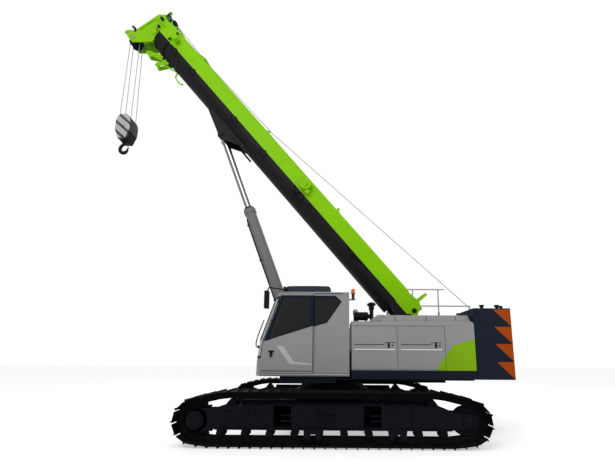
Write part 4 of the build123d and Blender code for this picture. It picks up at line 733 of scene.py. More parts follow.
class CRANE_OT_boom_head(bpy.types.Operator):
    """Rope guards, stiffeners, pin bosses, bolts and a lamp of the boom's head"""

    bl_idname = "crane.boom_head"
    bl_label = "Boom head trim"

    def execute(self, context):
        dark, green, bolts = Shape(), Shape(), Shape()
        for hand in (-1, 1):
            y = hand * (HEAD_HALF + 0.001)
            # keeper plates over the top sheave and in front of the lower ones
            top = (
                (10.70, 0.52), (10.74, 0.62), (10.85, 0.67), (10.93, 0.65), (10.97, 0.74), (11.00, 0.73),
                (10.98, 0.58), (10.90, 0.52),
            )
            low = (
                (11.13, -0.44), (11.19, -0.40), (11.31, -0.40), (11.33, -0.36), (11.29, -0.34), (11.17, -0.33),
                (11.10, -0.40),
            )
            dark.slab(top, boom_place(y, hand), 0.012, 0.003)
            dark.slab(low, boom_place(y, hand), 0.014, 0.003)
            # stiffeners on the head's face, and a boss round each pin
            green.slab(((10.62, 0.33), (11.08, 0.26), (11.10, 0.29), (10.62, 0.38)), boom_place(y, hand), 0.022, 0.004)
            green.slab(
                ((11.07, 0.24), (11.11, 0.24), (11.12, -0.30), (11.08, -0.30)), boom_place(y, hand), 0.022, 0.004
            )
            for (u, v), r in ((TOP_SHEAVE, 0.05), (LOWER_SHEAVES, 0.07), (JIB_PIN, 0.045)):
                green.lathe(
                    ((r * 0.55, 0.0), (r, 0.0), (r, 0.012), (r * 0.9, 0.016), (r * 0.6, 0.016)), boom(u, y, v),
                    (0, hand, 0), 24,
                )
                turn = np.arange(6) * np.pi / 3
                bolts.bolts(
                    boom(u + 0.76 * r * np.cos(turn), y + hand * 0.016, v + 0.76 * r * np.sin(turn)), (0, hand, 0),
                    0.007, 0.006,
                )
            for u, v in ((10.75, 0.10), (10.75, -0.05), (10.75, -0.20), (10.95, 0.12), (10.95, -0.16)):
                bolts.bolts(boom(u, y, v), (0, hand, 0), 0.010, 0.008)
            green.slab(soft_box(0.30, 0.24, 0.03) + (10.86, -0.02), boom_place(y, hand), 0.010, 0.004)
        # bars over the top sheave that keep the rope in its groove
        for u, v in ((10.98, 0.665), (10.74, 0.640)):
            dark.sweep(boom(u, np.array((-0.20, 0.20)), v), ring(0.012, 10), side=BOOM_U)
        # guide bar behind the top sheave
        for y in (-0.09, 0.09):
            dark.sweep(boom((10.30, 10.50, 10.70), y, (0.600, 0.610, 0.600)), soft_box(0.030, 0.014, 0.005))
        for u in (10.36, 10.60):
            dark.sweep(boom(u, np.array((-0.10, 0.10)), 0.600), ring(0.014, 10), side=BOOM_U)
            for y in (-0.115, 0.103):
                green.slab(soft_box(0.05, 0.16, 0.01) + (u, 0.535), boom_place(y, 1), 0.012, 0.003)
        # lamp on the head's left side
        dark.slab(soft_box(0.10, 0.07, 0.015) + (10.93, 0.41), boom_place(HEAD_HALF + 0.01, 1), 0.07, 0.012)
        # limit switch's small box and cable
        dark.slab(soft_box(0.09, 0.06, 0.01) + (10.80, 0.20), boom_place(HEAD_HALF + 0.01, 1), 0.04, 0.008)
        dark.tube(boom((10.80, 10.74, 10.66, 10.52), (0.24, 0.26, 0.24, 0.235), (0.17, 0.06, 0.12, 0.33)), 0.008, 8)
        dark.build("head_rope_guards", "navy", "section_4", "navy")
        green.build("head_stiffeners", "green", "section_4", "green")
        bolts.build("head_bolts", "steel", "section_4", "steel")
        return {"FINISHED"}


class CRANE_OT_ropes(bpy.types.Operator):
    """The hoist rope from the winch over the boom to the head, in straight runs"""

    bl_idname = "crane.ropes"
    bl_label = "Hoist rope"

    def execute(self, context):
        # where the rope bends, and the bodies at the two ends of each run
        stops = (
            ((-1.100, 1.515), "upper"),
            ((-0.990, 1.500), "boom_foot"),
            ((6.210, 0.662), "boom"),
            ((9.090, 0.600), "boom"),
            ((9.640, 0.620), "section_2"),
            ((10.190, 0.650), "section_3"),
            ((10.740, 0.680), "section_4"),
        )
        for number, ((a, first), (b, second)) in enumerate(zip(stops[:-1], stops[1:]), 1):
            ends = boom((a[0], b[0]), 0.0, (a[1], b[1]))
            run = Shape().sweep(ends, ring(ROPE_RADIUS, 8))
            name = f"hoist_rope_run_{number}"
            if first == second:
                run.build(name, "rope", first, "steel")
            else:
                piece = run.build(name, "rope", slot="steel")
                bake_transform(piece)
        # over the top sheave and down the head to the lower sheaves
        turn = np.linspace(np.pi / 2 + 0.15, -0.02, 12)
        over = np.stack((TOP_SHEAVE[0] + 0.118 * np.cos(turn), TOP_SHEAVE[1] + 0.118 * np.sin(turn)), axis=1)
        path = np.concatenate((((10.740, 0.680),), over, ((10.972, 0.45), (11.02, -0.37))))
        Shape().sweep(boom(path[:, 0], 0.0, path[:, 1]), ring(ROPE_RADIUS, 8)).build(
            "hoist_rope_over_head", "rope", "section_4", "steel"
        )
        # one layer of rope on the drum
        wraps = Shape()
        turn = 2 * np.pi * np.arange(32) / 32
        for y in np.arange(-0.31, 0.315, 0.0255):
            wraps.sweep(circle(0.213, turn, y, *WINCH_AXLE), ring(0.0125, 6), closed=True)
        wraps.build("winch_rope_wraps", "rope", "winch", "steel")
        return {"FINISHED"}


class CRANE_OT_block(bpy.types.Operator):
    """The four falls of rope and the hook block, whose silver cheeks face the sides"""

    bl_idname = "crane.block"
    bl_label = "Hook block"

    def execute(self, context):
        centre = BLOCK_PLACE
        across = np.array((CHEEK[1], -CHEEK[0], 0.0))
        # straight falls between the head's sheaves and the block's
        head = boom(LOWER_SHEAVES[0], 0.0, LOWER_SHEAVES[1])
        falls = Shape()
        for side in (-1, 1):
            for hand in (-1, 1):
                top = (head[0] + side * 0.135, hand * 0.075, head[2])
                low = centre + side * 0.160 * across + hand * BLOCK_SHEAVES * CHEEK
                falls.sweep((top, low), ring(ROPE_RADIUS, 8))
        piece = falls.build("hoist_rope_falls", "rope", slot="steel")
        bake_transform(piece)
        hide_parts("hoist_falls")

        block = Shape()
        shield = ((-0.195, -0.120), (-0.205, 0.060), (-0.190, 0.200), (-0.145, 0.300), (-0.070, 0.350), (0.070, 0.350),
                  (0.145, 0.300), (0.190, 0.200), (0.205, 0.060), (0.195, -0.120), (0.100, -0.375), (-0.100, -0.375))
        groove = (
            (0.045, -0.030), (0.178, -0.030), (0.184, -0.024), (0.160, -0.006), (0.160, 0.006), (0.184, 0.024),
            (0.178, 0.030), (0.045, 0.030),
        )
        for hand in (-1, 1):
            block.slab(shield, (centre + hand * 0.176 * CHEEK, across, UP, hand * CHEEK), 0.024, 0.004)
            block.lathe(groove, centre + hand * BLOCK_SHEAVES * CHEEK, CHEEK, 40)
            # boss and nut of the sheaves' pin, and of the crosshead's
            for height, radius in ((0.0, 0.060), (-0.300, 0.048)):
                place = centre + hand * 0.200 * CHEEK + height * UP
                block.lathe(
                    (
                        (0.001, 0.0), (radius, 0.0), (radius, 0.008), (radius * 0.7, 0.014), (radius * 0.7, 0.026),
                        (0.001, 0.028),
                    ),
                    place, hand * CHEEK, 28,
                )
            # guards that keep the rope on the sheaves, along the block's narrow edges
            for edge in (
                ((0.186, -0.15), (0.199, 0.05), (0.186, 0.19), (0.142, 0.285)),
                ((0.186, -0.15), (0.096, -0.370)),
            ):
                path = [centre + hand * a * across + z * UP for a, z in edge]
                block.sweep(path, soft_box(0.014, 0.330, 0.004), side=CHEEK)
        pin = ((0.001, -0.180), (0.045, -0.180), (0.045, 0.180), (0.001, 0.180))
        block.lathe(pin, centre, CHEEK, 28)
        # crosshead that carries the hook's shank
        low = centre - 0.330 * UP
        block.bar(low - 0.174 * CHEEK, low + 0.174 * CHEEK, 0.090, 0.150, 0.015, side=across)
        piece = block.build("hook_block_body", "block", "block", "silver")
        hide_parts("hook_block")

        # the hook: a round section that thickens to the bowl and tapers to the tip
        points = (
            (0.0, -0.335), (0.0, -0.430), (0.085, -0.490), (0.125, -0.580), (0.100, -0.670), (0.025, -0.712),
            (-0.060, -0.680), (-0.095, -0.600), (-0.100, -0.520),
        )
        bend = rounded([centre + (x, 0.0, z) for x, z in points], 3)
        thick = np.interp(
            np.linspace(0, 8, len(bend)), np.arange(9), (0.036, 0.036, 0.040, 0.044, 0.047, 0.048, 0.042, 0.030, 0.012)
        )
        hook = Shape().sweep(bend, ring(1.0, 18), scale=thick)
        hook.lathe(
            ((0.001, 0.0), (0.070, 0.0), (0.074, 0.010), (0.074, 0.040), (0.001, 0.050)), centre - 0.425 * UP, UP, 24
        )
        piece = hook.build("lifting_hook", "hook", "hook_body", "dark")
        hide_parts("hook")
        return {"FINISHED"}


class CRANE_OT_cylinder(bpy.types.Operator):
    """Pipes, pipe clamps, gland ring and pin caps of the luffing cylinder"""

    bl_idname = "crane.cylinder"
    bl_label = "Luffing cylinder trim"

    def execute(self, context):
        eye = boom(ROD_EYE[0], 0, ROD_EYE[1])
        foot = CYLINDER_FOOT
        way = unit(eye - foot)
        square = np.cross(way, LEFT)
        pipes, clamps, gland = Shape(), Shape(), Shape()
        for hand in (-1, 1):
            centre = foot + LEFT * hand * 0.075 - square * 0.155
            path = np.stack([centre + way * s for s in (0.35, 0.9, 2.4, 3.9)] + [centre + way * 3.98 + square * 0.03])
            pipes.tube(path, 0.013)
        for s in (0.6, 1.7, 2.8, 3.8):
            for hand in (-1, 1):
                middle = foot + LEFT * hand * 0.075 - square * 0.155 + way * s
                clamps.sweep(
                    np.stack((middle - way * 0.02, middle + way * 0.02)), soft_box(0.05, 0.04, 0.008), side=LEFT
                )
        gland.lathe(
            ((0.088, 0.0), (0.120, 0.0), (0.126, 0.006), (0.126, 0.016), (0.112, 0.022), (0.088, 0.022)),
            foot + way * 4.262, way, 32,
        )
        turn = np.arange(10) * np.pi / 5
        places = foot + way * 4.284 + 0.105 * (np.cos(turn)[:, None] * square + np.sin(turn)[:, None] * LEFT)
        gland.bolts(places, way, 0.008, 0.008)
        pipes.build("luff_pipes", "charcoal", "barrel", "dark")
        clamps.build("luff_pipe_clamps", "charcoal", "barrel", "dark")
        gland.build("luff_gland_ring", "charcoal", "barrel", "dark")
        cap = Shape()
        for hand in (-1, 1):
            cap.lathe(
                ((0.001, 0), (0.05, 0), (0.054, 0.005), (0.054, 0.014), (0.046, 0.02), (0.001, 0.02)),
                boom(ROD_EYE[0], hand * 0.195, ROD_EYE[1]), (0, hand, 0), 24,
            )
        cap.build("rod_pin_caps", "charcoal", "boom", "dark")
        return {"FINISHED"}


class CRANE_OT_cab(bpy.types.Operator):
    """Window surrounds, seals, a painted shadow down the door's rear edge, rails, a crease with a painted highlight,
    handle, wiper, roof guard, lamps and consoles of the cab
    """

    bl_idname = "crane.cab"
    bl_label = "Cab trim"

    def execute(self, context):
        door, shell = Shape(), Shape()
        # dark surround of the door's window, out to the pillar, the roof rail and the split
        outer = ((1.414, 1.912), (1.072, 2.872), (0.401, 2.872), (0.401, 2.232))
        inner = ((1.330, 1.930), (1.040, 2.830), (0.460, 2.830), (0.460, 2.260))
        door.frame(outer, inner, side_place(DOOR_FACE), 0.003, 0.001)
        seal = ((1.336, 1.924), (1.044, 2.836), (0.454, 2.836), (0.454, 2.254))
        door.frame(seal, inset(inner, 0.012), side_place(DOOR_FACE - 0.004), 0.009, 0.003)
        # the same round the quarter window behind it
        outer = ((0.399, 2.216), (0.399, 2.872), (-0.066, 2.872), (-0.198, 2.752), (0.112, 2.300))
        inner = ((0.380, 2.240), (0.380, 2.835), (-0.060, 2.835), (-0.170, 2.745), (0.130, 2.320))
        for y, facing in ((CAB_FACE, 1), (CAB_INNER, -1)):
            shell.frame(outer, inner, side_place(y, facing), 0.003, 0.001)
            shell.frame(inset(inner, -0.008), inset(inner, 0.012), side_place(y - facing * 0.004, facing), 0.009, 0.003)
        outer = ((1.352, 1.890), (1.062, 2.872), (0.420, 2.872), (0.420, 1.890))
        inner = ((1.310, 1.920), (1.030, 2.835), (0.460, 2.835), (0.460, 1.920))
        shell.frame(outer, inner, side_place(CAB_INNER, -1), 0.003, 0.001)
        # slot of the door's upper rail
        shell.slab(rectangle(-0.22, 0.39, 2.900, 2.922), side_place(CAB_FACE), 0.003, 0.001)
        # the door's rear edge: a dark strip on its face, a painted shadow of the edge, a seal in the gap behind it, and
        # the line over its foot
        door.slab(
            ((DOOR_REAR, 1.300), (DOOR_REAR, 2.895), (0.403, 2.895), (0.403, 1.300)), side_place(DOOR_FACE), 0.003,
            0.001,
        )
        door.bar((DOOR_REAR, DOOR_FACE - 0.020, 1.290), (DOOR_REAR, DOOR_FACE - 0.020, 2.895), 0.005, 0.038, 0.002)
        door.slab(rectangle(0.41, 1.44, 1.305, 1.319), side_place(DOOR_FACE), 0.003, 0.001)
        door.build("door_window_surround_and_edge_shadow", "navy", "cab_door_body", "navy")

        # black edge of the windscreen: bands along its foot, its brow and both pillars
        across = np.linspace(CAB_INNER + 0.012, CAB_FACE - 0.012, 25)
        for z in (1.585, 2.838):
            path = np.stack((screen_x(across, z) + 0.001, across, np.full(25, z)), axis=1)
            shell.sweep(path, soft_box(0.006, 0.055, 0.002), side=(0, 0, 1))
        up = np.array((1.56, 1.915, 2.86))
        for y in (CAB_INNER + 0.035, CAB_FACE - 0.035):
            path = np.stack((screen_x(np.full(3, y), up) + 0.001, np.full(3, y), up), axis=1)
            shell.sweep(path, soft_box(0.060, 0.008, 0.003), side=(1, 0, 0))
        shell.build("cab_window_surrounds", "navy", "upper", "navy")

        trim = Shape()
        # sill rail under the door and the step plate at its foot
        trim.bar((-0.335, 1.462, 1.240), (1.462, 1.462, 1.240), 0.024, 0.050, 0.006)
        trim.bar((-0.335, 1.462, 1.290), (1.462, 1.462, 1.290), 0.012, 0.014, 0.004)
        # drip rail along the roof's edge
        trim.bar((-0.345, 1.452, 2.944), (1.045, 1.452, 2.944), 0.016, 0.018, 0.005)
        trim.bar((-0.345, 0.557, 2.944), (1.045, 0.557, 2.944), 0.016, 0.018, 0.005)
        trim.build("cab_rails", "pale", "upper", "grey")

        # crease along the door and the cab's side: a raised strip whose pale grey, lighter than the cab, is a painted
        # highlight on the ridge
        crease = Shape()
        crease.slab(
            ((1.150, 1.818), (1.010, 1.818), (0.780, 1.500), (0.412, 1.462), (0.412, 1.428), (0.870, 1.442)),
            side_place(DOOR_FACE), 0.006, 0.004,
        )
        crease.build("door_crease_painted_highlight", "pale", "cab_door_body", "grey")
        tail = Shape().slab(
            ((0.394, 1.444), (0.268, 1.438), (0.268, 1.430), (0.394, 1.428)), side_place(CAB_FACE), 0.005, 0.003
        )
        tail.build("cab_side_crease_painted_highlight", "pale", "upper", "grey")

        black = Shape()
        black.slab(soft_box(0.110, 0.034, 0.012) + (1.25, 1.705), side_place(DOOR_FACE), 0.012, 0.004)
        black.slab(soft_box(0.050, 0.125, 0.018) + (1.25, 1.650), side_place(DOOR_FACE), 0.020, 0.006)
        black.tube(
            (
                (1.20, DOOR_FACE + 0.012, 1.705), (1.20, DOOR_FACE + 0.034, 1.700), (1.30, DOOR_FACE + 0.034, 1.700),
                (1.30, DOOR_FACE + 0.012, 1.705),
            ),
            0.008, side=(0, 0, 1),
        )
        black.build("door_handle", "plastic", "cab_door_body", "black_plastic")

        wiper = Shape()
        wiper.lathe(
            ((0.001, 0), (0.032, 0), (0.034, 0.01), (0.028, 0.05), (0.012, 0.055), (0.012, 0.075), (0.001, 0.075)),
            (1.585, 1.0045, 1.80), (1, 0, 0.16), 20,
        )
        wiper.tube(((1.665, 1.0045, 1.812), (1.680, 1.0, 1.93), (1.520, 0.99, 2.40)), 0.012, 8, rounds=2)
        z = np.linspace(1.95, 2.92, 20)
        y = np.full(20, 0.985)
        wiper.sweep(np.stack((screen_x(y, z) + 0.030, y, z), axis=1), soft_box(0.022, 0.030, 0.006))
        wiper.build("windscreen_wiper", "plastic", "upper", "black_plastic")

        # guard over the roof window: a bowed rail on each side and slats between them
        guard = Shape()
        for y in (0.710, 1.299):
            rail = (
                (0.045, y, 2.950), (0.045, y, 3.060), (0.100, y, 3.100), (0.960, y, 3.100), (1.008, y, 3.060),
                (1.008, y, 2.950),
            )
            guard.tube(rail, 0.013)
            guard.slab(
                ((0.045, 2.975), (0.045, 3.060), (0.100, 3.096), (0.960, 3.096), (1.008, 3.060), (1.008, 2.975)),
                side_place(y - 0.004), 0.008, 0.002,
            )
        for x in np.linspace(0.105, 0.950, 14):
            guard.bar((x, 0.700, 3.103), (x, 1.309, 3.103), 0.010, 0.034, 0.003, side=(1, 0, 0))
        for x in (0.045, 1.008):
            guard.bar((x, 0.710, 3.035), (x, 1.299, 3.035), 0.040, 0.012, 0.004, side=(1, 0, 0))
        piece = guard.build("cab_roof_guard", "guard", "upper", "navy")
        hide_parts("roof_guard")

        lamps = Shape()
        for y in (0.70, 1.31):
            lamps.bar((1.02, y, 2.955), (1.02, y, 2.99), 0.03, 0.03, 0.006)
            lamps.lathe(
                ((0.001, -0.05), (0.035, -0.05), (0.058, -0.015), (0.062, 0.02), (0.056, 0.025), (0.001, 0.020)),
                (1.03, y, 3.035), (1, 0, -0.12), 24,
            )
        lamps.build("cab_work_lamps", "plastic", "upper", "black_plastic")

        inside = Shape()
        # consoles beside the seat, levers, screen and pedals, seen when the door is open
        for y in (0.72, 1.30):
            inside.bar((0.02, y, 1.74), (0.56, y, 1.78), 0.11, 0.10, 0.03)
            inside.tube(((0.50, y, 1.83), (0.51, y, 1.92), (0.53, y, 1.96)), 0.016)
            inside.lathe(
                ((0.001, 0), (0.020, 0.004), (0.026, 0.03), (0.022, 0.06), (0.001, 0.07)), (0.527, y, 1.955),
                (0.2, 0, 1), 16,
            )
            inside.bar((0.25, y, 1.30), (0.25, y, 1.70), 0.10, 0.14, 0.02)
        inside.bar((1.22, 1.30, 1.98), (1.25, 1.30, 1.99), 0.26, 0.20, 0.02)
        inside.tube(((1.24, 1.30, 1.88), (1.26, 1.30, 1.60), (1.30, 1.30, 1.30)), 0.018)
        for y in (0.90, 1.10):
            inside.bar((1.18, y, 1.28), (1.30, y, 1.36), 0.10, 0.02, 0.008)
        inside.build("cab_consoles", "plastic", "upper", "black_plastic")
        return {"FINISHED"}


def cushion(count):
    """Places from -1 to 1 along a cushion, and the size of each section: the fourth root of one minus its place^4."""
    places = np.sin(np.linspace(-np.pi / 2, np.pi / 2, count)) * 0.998
    return places, (1 - places**4) ** 0.25


class CRANE_OT_seat(bpy.types.Operator):
    """The operator's seat as padded cushions on a suspension base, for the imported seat"""

    bl_idname = "crane.seat"
    bl_label = "Seat"

    def execute(self, context):
        seat = Shape()
        t = np.linspace(0, 2 * np.pi, 41)[:-1]
        profile = np.stack(
            (np.sign(np.cos(t)) * np.abs(np.cos(t)) ** 0.55, np.sign(np.sin(t)) * np.abs(np.sin(t)) ** 0.55), axis=1
        )
        # cushion and backrest: sections |x|^n + |y|^n = 1 that shrink to the ends as the fourth root of one minus s^4,
        # with side bolsters raised by the square of the distance from the middle
        for start, end, half_width, half_depth in (
            ((0.115, SEAT_Y, 1.730), (0.590, SEAT_Y, 1.755), 0.235, 0.058),
            ((0.075, SEAT_Y, 1.765), (-0.095, SEAT_Y, 2.330), 0.225, 0.055),
        ):
            start, end = np.array(start), np.array(end)
            s, size = cushion(22)
            way = unit(end - start)
            across = np.cross(way, LEFT)
            across = across * np.sign(across @ np.array((-0.4, 0, 1.0)) if abs(way[0]) > 0.8 else across[0])
            middle = (start + end) / 2 + (end - start) / 2 * s[:, None]
            width = profile[None, :, 0] * half_width * (0.9 + 0.1 * size[:, None])
            depth = profile[None, :, 1] * half_depth * size[:, None]
            bolster = 0.030 * (width / half_width) ** 2 * (profile[None, :, 1] > 0)
            seam = 0.006 * np.exp(-(((np.abs(width) - 0.13) / 0.012) ** 2)) * (profile[None, :, 1] > 0)
            seat.grid(middle[:, None] + width[..., None] * LEFT + (depth + bolster - seam)[..., None] * across)
        # head rest
        s, size = cushion(14)
        middle = np.array((-0.095, SEAT_Y, 2.330)) + np.array((-0.02, 0, 0.10)) * s[:, None]
        seat.grid(
            middle[:, None]
            + (profile[None, :, 0] * 0.11 * size[:, None])[..., None] * LEFT
            + (profile[None, :, 1] * 0.040 * size[:, None])[..., None] * np.array((1.0, 0, 0.2))
        )
        piece = seat.build("operator_seat", "seat", "upper", "seat")
        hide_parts("seat")
        base = Shape()
        base.sweep(
            ((0.10, SEAT_Y, 1.262), (0.10, SEAT_Y, 1.330), (0.12, SEAT_Y, 1.60), (0.20, SEAT_Y, 1.672)),
            soft_box(0.36, 0.34, 0.03), scale=(1.05, 1.0, 0.86, 0.92),
        )
        base.build("seat_suspension", "rubber", "upper", "dark")
        return {"FINISHED"}


class CRANE_OT_hoods(bpy.types.Operator):
    """Ledges with a painted highlight, grooves with painted shade, latches, louvres and seams of the hoods, their doors
    and the cowl
    """

    bl_idname = "crane.hoods"
    bl_label = "Hood trim"

    def execute(self, context):
        for key, front, step, latch in (("front", -0.453, -1.055, -1.160), ("rear", -1.410, -2.010, -2.130)):
            body = f"hood_door_{key}_body"
            rear = front - 0.840
            light, dark = Shape(), Shape()
            # ledge along each door, in a grey lighter than the hood's: a painted highlight where the ledge catches the
            # light
            light.bar((front, HOOD_FACE + 0.001, 1.752), (rear, HOOD_FACE + 0.001, 1.752), 0.024, 0.022, 0.005)
            # charcoal strip along the door's groove: painted shade in the groove
            path = (
                (front, 1.862), (step, 1.862), (step - 0.055, 1.905), (rear, 1.905), (rear, 1.893),
                (step - 0.058, 1.893), (step, 1.848), (front, 1.848),
            )
            dark.slab(path, side_place(HOOD_FACE), 0.002, 0.0005)
            light.build(f"hood_{key}_ledge", "ledge", body, "grey")
            dark.build(f"hood_{key}_groove", "charcoal", body, "dark")
            latches = Shape()
            latches.slab(soft_box(0.040, 0.105, 0.012) + (latch, LATCH_Z), side_place(HOOD_FACE), 0.010, 0.003)
            latches.slab(soft_box(0.026, 0.080, 0.010) + (latch, LATCH_Z), side_place(HOOD_FACE + 0.010), 0.008, 0.003)
            latches.lathe(
                ((0.001, 0), (0.016, 0), (0.016, 0.006), (0.010, 0.009), (0.001, 0.009)),
                (latch - 0.075, HOOD_FACE, LATCH_Z), (0, 1, 0), 20,
            )
            latches.build(f"hood_{key}_latch", "plastic", body, "black_plastic")
        # the right-hand hood: two doors drawn by seams, with louvres over the radiator
        right, slats = Shape(), Shape()
        for x in (-0.95, -1.62, -2.29):
            right.slab(rectangle(x - 0.004, x + 0.004, 1.36, 2.27), side_place(-HOOD_FACE, -1), 0.002, 0.0005)
        for x in (-1.10, -1.77):
            right.slab(soft_box(0.040, 0.105, 0.012) + (x, LATCH_Z), side_place(-HOOD_FACE, -1), 0.012, 0.003)
        for z in np.arange(1.50, 2.16, 0.042):
            path = np.array(((-2.80, -HOOD_FACE - 0.004, z), (-2.38, -HOOD_FACE - 0.004, z)))
            slats.sweep(path, soft_box(0.020, 0.022, 0.004) @ np.array(((0.8, -0.6), (0.6, 0.8))))
        slats.frame(
            rectangle(-2.83, -2.35, 1.46, 2.18), rectangle(-2.80, -2.38, 1.49, 2.15), side_place(-HOOD_FACE, -1),
            0.010, 0.003,
        )
        right.build("right_hood_seams", "charcoal", "upper", "dark")
        slats.build("right_hood_louvres", "grey", "upper", "grey")
        # nose of the cowl beside the air intake, then the cowl's seams and its grille
        nose = Shape().slab(
            ((-0.755, 2.3405), (-0.962, 2.484), (-1.080, 2.484), (-1.025, 2.3405)), side_place(1.02), 0.345, 0.012
        )
        nose.build("cowl_nose", "hood", "upper", "grey")
        seams = Shape()
        for x in (-1.33, -1.98, -2.60):
            seams.bar((x, 1.381, 2.345), (x, 1.335, 2.474), 0.008, 0.006, 0.002, side=(1, 0, 0))
        for x in np.arange(-2.50, -2.05, 0.055):
            seams.bar((x, 0.62, 2.4815), (x, 1.18, 2.4815), 0.022, 0.010, 0.003, side=(1, 0, 0))
        seams.build("cowl_seams", "charcoal", "upper", "dark")
        return {"FINISHED"}


class CRANE_OT_undercarriage(bpy.types.Operator):
    """Drive covers and cheeks, idler caps, grab handles, ribs, roofs that also fill the shade under the upper runs as
    painted shade, and bolts of the crawlers
    """

    bl_idname = "crane.undercarriage"
    bl_label = "Undercarriage trim"

    def execute(self, context):
        for side, sign in (("left", 1), ("right", -1)):
            body = f"crawler_{side}"
            steel, dark, roof = Shape(), Shape(), Shape()
            face = sign * DRIVE_FACE
            out = (0, sign, 0)
            centre = (WHEEL_X, face, WHEEL_Z)
            dark.lathe(
                ((0.001, 0.0), (0.118, 0.0), (0.126, 0.006), (0.126, 0.014), (0.110, 0.022), (0.001, 0.024)), centre,
                out, 40,
            )
            turn = np.arange(16) * np.pi / 8 + 0.1
            steel.bolts(circle(0.183, turn, sign * DRIVE_STEP), out, 0.009, 0.012)
            steel.bolts(circle(0.137, turn[::2], face), out, 0.007, 0.008)
            dark.lathe(
                ((0.001, 0), (0.022, 0), (0.024, 0.004), (0.024, 0.016), (0.001, 0.018)),
                (WHEEL_X + 0.03, face + sign * 0.022, WHEEL_Z - 0.075), out, 20,
            )
            # outer cheek, cut out round the final drive
            turn = np.linspace(-1.868, 1.868, 25) + np.pi
            round_cut = circle(0.205, turn, 0.0)[:, ::2]
            cheek = np.concatenate((((2.095, 0.665), (2.095, 0.315), (2.41, 0.245)), round_cut[::-1], ((2.41, 0.665),)))
            dark.slab(cheek, side_place(sign * (FRAME_FACE - 0.03), sign), 0.029, 0.004)
            # idler's bearing caps with their bolts
            for hand in (-1, 1):
                y = sign * TRACK_MIDDLE + hand * 0.1715
                dark.lathe(
                    ((0.001, 0.0), (0.095, 0.0), (0.100, 0.006), (0.100, 0.020), (0.070, 0.034), (0.001, 0.036)),
                    (-WHEEL_X, y, WHEEL_Z), (0, hand, 0), 32,
                )
                six = np.arange(6) * np.pi / 3
                steel.bolts(circle(0.080, six, y + hand * 0.022, -WHEEL_X), (0, hand, 0), 0.010, 0.010)
            # D handles, and bolts along the frame's foot and guards
            y = sign * FRAME_FACE
            for x, low, high in ((1.40, 0.59, 0.73), (-1.04, 0.59, 0.74)):
                dark.tube(
                    ((x, y, high), (x, y + sign * 0.055, high), (x, y + sign * 0.055, low), (x, y, low)), 0.010,
                    side=(1, 0, 0),
                )
            xs = np.concatenate([np.arange(x - 0.14, x + 0.15, 0.07) for x in (0.335, -1.180)])
            steel.bolts(np.stack((xs, np.full(len(xs), y), np.full(len(xs), 0.345)), axis=1), out, 0.009, 0.009)
            # ribs and cover plates on the outer side
            for x in (-1.86, -1.45, -0.35, 0.62, 1.18, 1.95):
                dark.bar((x, y + sign * 0.002, 0.33), (x, y + sign * 0.002, 0.67), 0.018, 0.014, 0.004, side=(1, 0, 0))
            for x in (-1.62, 1.52):
                dark.slab(soft_box(0.26, 0.15, 0.02) + (x, 0.50), side_place(y, sign), 0.012, 0.004)
                steel.bolts(
                    [(x + a, y + sign * 0.012, 0.50 + b) for a in (-0.105, 0.105) for b in (-0.052, 0.052)], out,
                    0.008, 0.008,
                )
            # sheet roof over the frame, which sheds the dirt; dark, it also fills the space under the track's upper run
            # as painted shade
            spots = np.array(
                ((-0.165, 0.0), (-0.165, 0.012), (-0.06, 0.085), (0.06, 0.085), (0.165, 0.012), (0.165, 0.0))
            )
            roof.grid(
                np.stack([
                    np.stack(
                        (np.full(6, x), sign * TRACK_MIDDLE + spots[:, 0], 0.7155 + spots[:, 1]), axis=1
                    ) for x in (-1.65, 1.65)
                ])
            )
            roof.build(f"track_frame_shade_roof_{side}", "frame", body, "navy")
            dark.build(f"crawler_fittings_{side}", "frame", body, "navy")
            steel.build(f"crawler_bolts_{side}", "frame", body, "navy")
        return {"FINISHED"}


class CRANE_OT_upper(bpy.types.Operator):
    """Joints and tie bolts of the counterweight, and a rail along the deck's edge"""

    bl_idname = "crane.upper"
    bl_label = "Upper trim"

    def execute(self, context):
        dark, steel = Shape(), Shape()
        # joints between the counterweight's slabs, and its tie bolts
        for z in (1.52, 1.885, 2.235):
            for hand in (-1, 1):
                y = hand * WEIGHT_FACE
                dark.sweep(((-2.96, y, z), (-3.69, y, z)), soft_box(0.004, 0.010, 0.001, 1))
        for hand in (-1, 1):
            steel.bolts(
                [(-3.02, hand * 1.481, z) for z in (1.24, 1.42, 1.62, 1.80, 1.99, 2.15, 2.33, 2.50)], (0, hand, 0),
                0.012, 0.010,
            )
            # rail along the deck's edge
            dark.bar((0.0, hand * 1.40, 1.150), (-2.9, hand * 1.40, 1.150), 0.03, 0.02, 0.006)
        dark.build("upper_seams", "navy", "upper", "navy")
        steel.build("upper_bolts", "navy", "upper", "navy")
        return {"FINISHED"}


